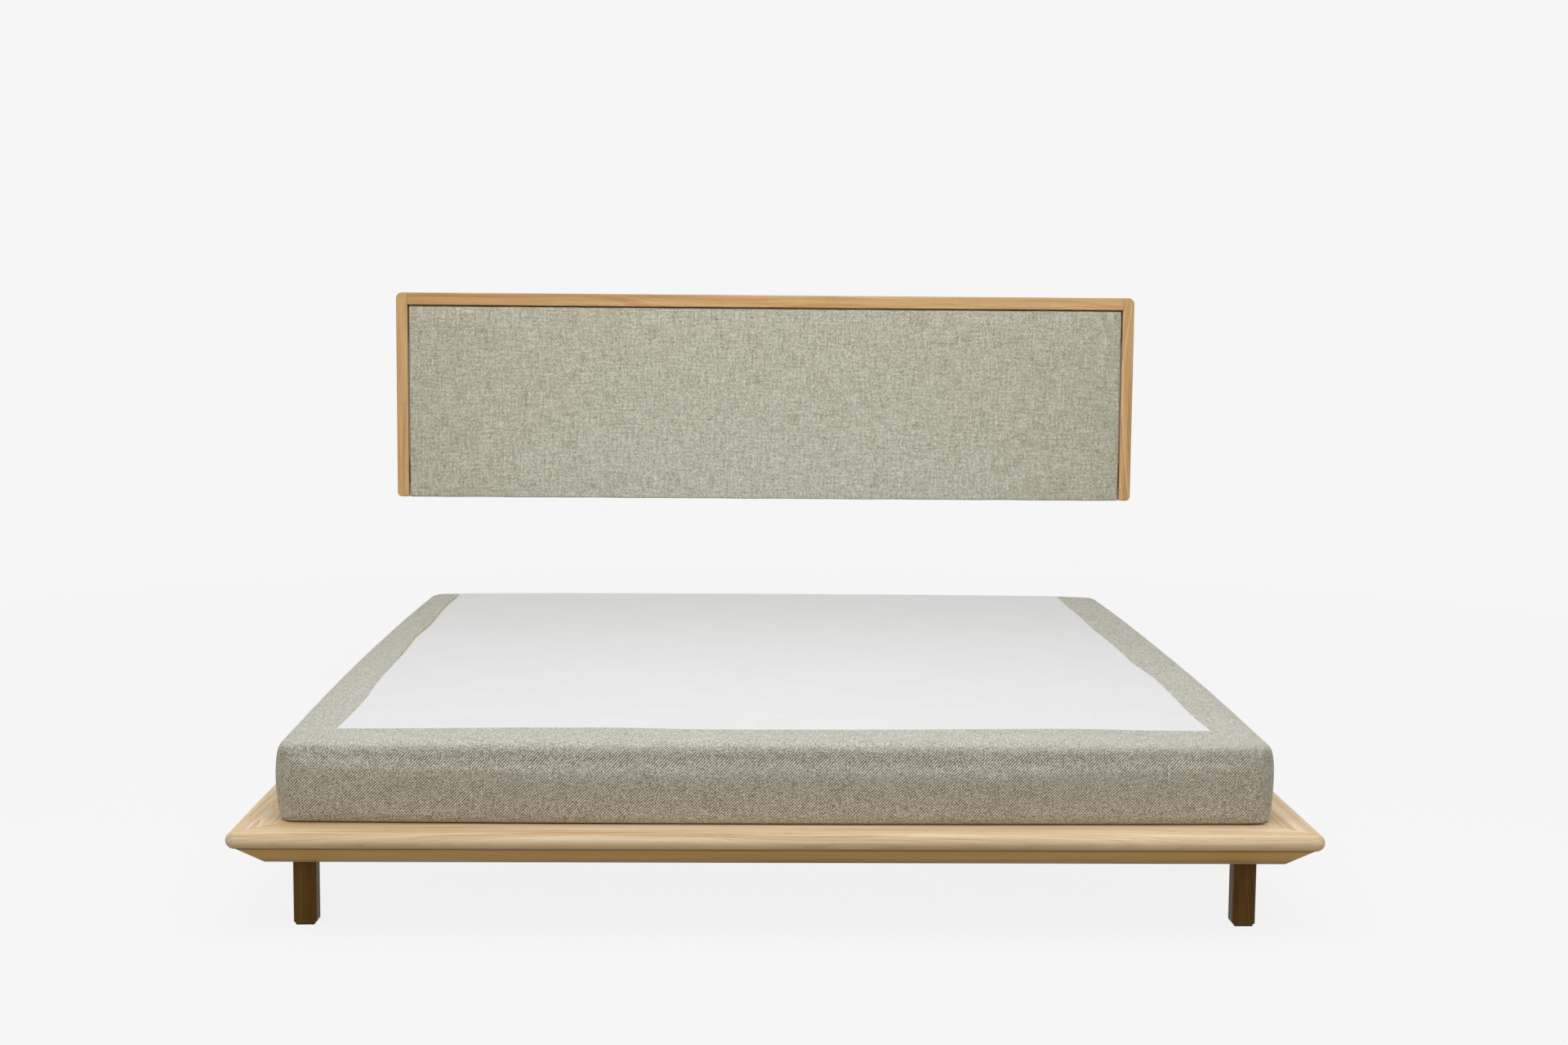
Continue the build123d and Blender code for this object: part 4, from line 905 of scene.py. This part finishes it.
def make_base_layer(name, node, inset, low, high, radius, rough, material, hole=None):
    """One soft layer inside the base, drawn in from the cover: a slab, or a ring round a hole."""
    extra = hole or ((), ())
    across = lines(-HALF_BASE + inset, HALF_BASE - inset, *LAYER_GRID, extra[0])
    along = lines(BASE_NEAR + inset, BASE_FAR - inset, *LAYER_GRID, extra[1])
    upward = lines(low, high, 14 * MM, radius, 20 * MM)
    sharp, quads, _ = box_grid(across, along, upward, hole)
    places = lie_of_base(sharp, soften(sharp, LAYER_CORNER, radius, radius))
    wave = np.sin(places @ np.array([31.0, 47.0, 133.0])) * np.sin(places @ np.array([57.0, -33.0, 71.0]))
    level = np.where(sharp[:, 2] > high - SAME, 1.0, 0.0) - np.where(sharp[:, 2] < low + SAME, 1.0, 0.0)
    places[:, 2] -= level * np.abs(wave) * rough
    layer = make_piece(name, places, quads, material, "base")
    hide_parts(node)


def make_springs():
    """The pocketed springs: rows of cloth barrels, drawn in at the top and bottom."""
    low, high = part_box("spring_unit")
    columns, rows, round_count = 16, 18, 12
    step_x, step_y = (high.x - low.x) / columns, (high.y - low.y) / rows
    profile = ((0.0, 0.30), (0.03, 0.72), (0.14, 0.95), (0.5, 0.985), (0.86, 0.95), (0.97, 0.72), (1.0, 0.30))
    places, quads = [], []
    for column in range(columns):
        for row in range(rows):
            x, y = low.x + (column + 0.5) * step_x, low.y + (row + 0.5) * step_y
            start = len(places)
            for share, wide in profile:
                z = low.z + share * (high.z - low.z)
                for turn in range(round_count):
                    angle = 2 * math.pi * turn / round_count
                    ripple = 1 - 0.012 * (turn % 2)
                    places.append((x + math.cos(angle) * wide * ripple * step_x / 2,
                                   y + math.sin(angle) * wide * ripple * step_y / 2, z))
            for ring in range(len(profile) - 1):
                for turn in range(round_count):
                    a = start + ring * round_count + turn
                    b = start + ring * round_count + (turn + 1) % round_count
                    quads.append((a, b, b + round_count, a + round_count))
            quads.append(tuple(range(start + round_count - 1, start - 1, -1)))
            top = start + (len(profile) - 1) * round_count
            quads.append(tuple(range(top, top + round_count)))
    unit = make_piece("pocket_springs", places, quads, pocket_cloth, "base")
    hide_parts("spring_unit")


def make_headboard_foam():
    low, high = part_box("headboard_foam")
    margin = Vector((2 * MM, 0, 2 * MM))
    front = Vector((0, 1.2 * MM, 0))
    places, quads = soft_block(low + margin + front, high - margin, 3 * MM, 40 * MM, 0.3 * MM)
    slab = make_piece("headboard_foam_pad", places, quads, foam, "headboard")
    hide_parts("headboard_foam")


make_glides()
BOARD_RING = ((-0.885, 0.885), (-0.990, 0.980))
SPRING_RING = ((-0.826, 0.826), (-0.931, 0.921))
WADDING_LOW, WADDING_TOP = 0.1935, 0.2498
EDGE_FOAM_LOW, EDGE_FOAM_TOP = 0.2503, 0.3178
FELT_LOW, FELT_TOP = 0.3182, 0.3214
COMFORT_LOW, COMFORT_TOP = 0.3218, 0.3372
make_base_layer("side_wadding", "side_padding", 4 * MM, WADDING_LOW, WADDING_TOP, 2 * MM, 0.5 * MM, wadding,
                BOARD_RING)
make_base_layer("edge_foam_rails", "edge_foam", 4 * MM, EDGE_FOAM_LOW, EDGE_FOAM_TOP, 3 * MM, 0.3 * MM, foam,
                SPRING_RING)
make_base_layer("felt_sheet", "felt_pad", 5 * MM, FELT_LOW, FELT_TOP, 1 * MM, 0.2 * MM, grey_felt)
make_base_layer("comfort_foam_pad", "comfort_foam", 9 * MM, COMFORT_LOW, COMFORT_TOP, 5 * MM, 0.2 * MM, foam)
make_springs()
make_headboard_foam()

# floor, background and light

BACKGROUND = srgb(246, 246, 246)
FLOOR_SHARE = 0.06
FLOOR_HALF = 40.0
FLOOR_FADE = (2.0, 4.5)
FLOOR_DIMMING = -0.92
FLOOR_BOUNCE = (0.31, 0.235, 0.125, 1)
WORLD_COLOUR, WORLD_STRENGTH = (1.0, 0.995, 0.985, 1), 0.56
SOFTBOX_PLACE, SOFTBOX_AIM = (0, -1.5, 3.3), (0, -0.3, 0.3)
SOFTBOX_WIDTH, SOFTBOX_LENGTH, SOFTBOX_POWER = 3.6, 2.6, 74


def make_floor():
    """A plain pale floor that keeps a soft shadow near the bed and meets the background further off."""
    mesh = bpy.data.meshes.new("floor")
    corners = [(x * FLOOR_HALF, y * FLOOR_HALF, 0) for x, y in ((-1, -1), (1, -1), (1, 1), (-1, 1))]
    mesh.from_pydata(corners, [], [(0, 1, 2, 3)])
    floor = bpy.data.objects.new("floor", mesh)
    scene.collection.objects.link(floor)
    s = Shader("floor_paint", Roughness=1.0, Specular_IOR_Level=0.0)
    far = s.add("ShaderNodeVectorMath", {0: s.place()}, "Value", operation="LENGTH")
    fade = s.span(far, *FLOOR_FADE, 1.0, 0.0)
    share = s.math("MULTIPLY", fade, FLOOR_SHARE)
    diffuse = s.add("ShaderNodeBsdfDiffuse", {"Color": s.vector(share, share, share)})
    glow = s.math("MULTIPLY_ADD", share, FLOOR_DIMMING, BACKGROUND[0])
    shine = s.add("ShaderNodeEmission", {"Color": (1, 1, 1, 1), "Strength": glow})
    seen = s.add("ShaderNodeAddShader", {0: diffuse, 1: shine})
    bounce = s.add("ShaderNodeBsdfDiffuse", {"Color": FLOOR_BOUNCE})
    path = s.nodes.new("ShaderNodeLightPath").outputs
    through = s.math("MAXIMUM", path["Is Glossy Ray"], path["Is Transmission Ray"])
    direct = s.math("MAXIMUM", path["Is Camera Ray"], through)
    both = s.add("ShaderNodeMixShader", {0: direct, 1: bounce, 2: seen})
    s.links.new(both, s.nodes["Material Output"].inputs["Surface"])
    mesh.materials.append(s.material)


def make_world():
    world = bpy.data.worlds.new("studio")
    world.use_nodes = True
    tree = world.node_tree
    soft = tree.nodes["Background"]
    soft.inputs["Color"].default_value = WORLD_COLOUR
    soft.inputs["Strength"].default_value = WORLD_STRENGTH
    plain = tree.nodes.new("ShaderNodeBackground")
    plain.inputs["Color"].default_value = BACKGROUND
    path = tree.nodes.new("ShaderNodeLightPath")
    first, second = tree.nodes.new("ShaderNodeMath"), tree.nodes.new("ShaderNodeMath")
    first.operation = second.operation = "MAXIMUM"
    tree.links.new(path.outputs["Is Glossy Ray"], first.inputs[0])
    tree.links.new(path.outputs["Is Transmission Ray"], first.inputs[1])
    tree.links.new(path.outputs["Is Camera Ray"], second.inputs[0])
    tree.links.new(first.outputs[0], second.inputs[1])
    both = tree.nodes.new("ShaderNodeMixShader")
    tree.links.new(second.outputs[0], both.inputs[0])
    tree.links.new(soft.outputs[0], both.inputs[1])
    tree.links.new(plain.outputs[0], both.inputs[2])
    tree.links.new(both.outputs[0], tree.nodes["World Output"].inputs["Surface"])
    scene.world = world


def add_softbox():
    data = bpy.data.lights.new("overhead_softbox", "AREA")
    data.shape = "RECTANGLE"
    data.size, data.size_y = SOFTBOX_WIDTH, SOFTBOX_LENGTH
    data.energy = SOFTBOX_POWER
    lamp = bpy.data.objects.new("overhead_softbox", data)
    lamp.location = SOFTBOX_PLACE
    lamp.rotation_euler = (Vector(SOFTBOX_AIM) - Vector(SOFTBOX_PLACE)).to_track_quat("-Z", "Y").to_euler()
    scene.collection.objects.link(lamp)


make_floor()
make_world()
add_softbox()
scene.view_settings.view_transform = "Standard"
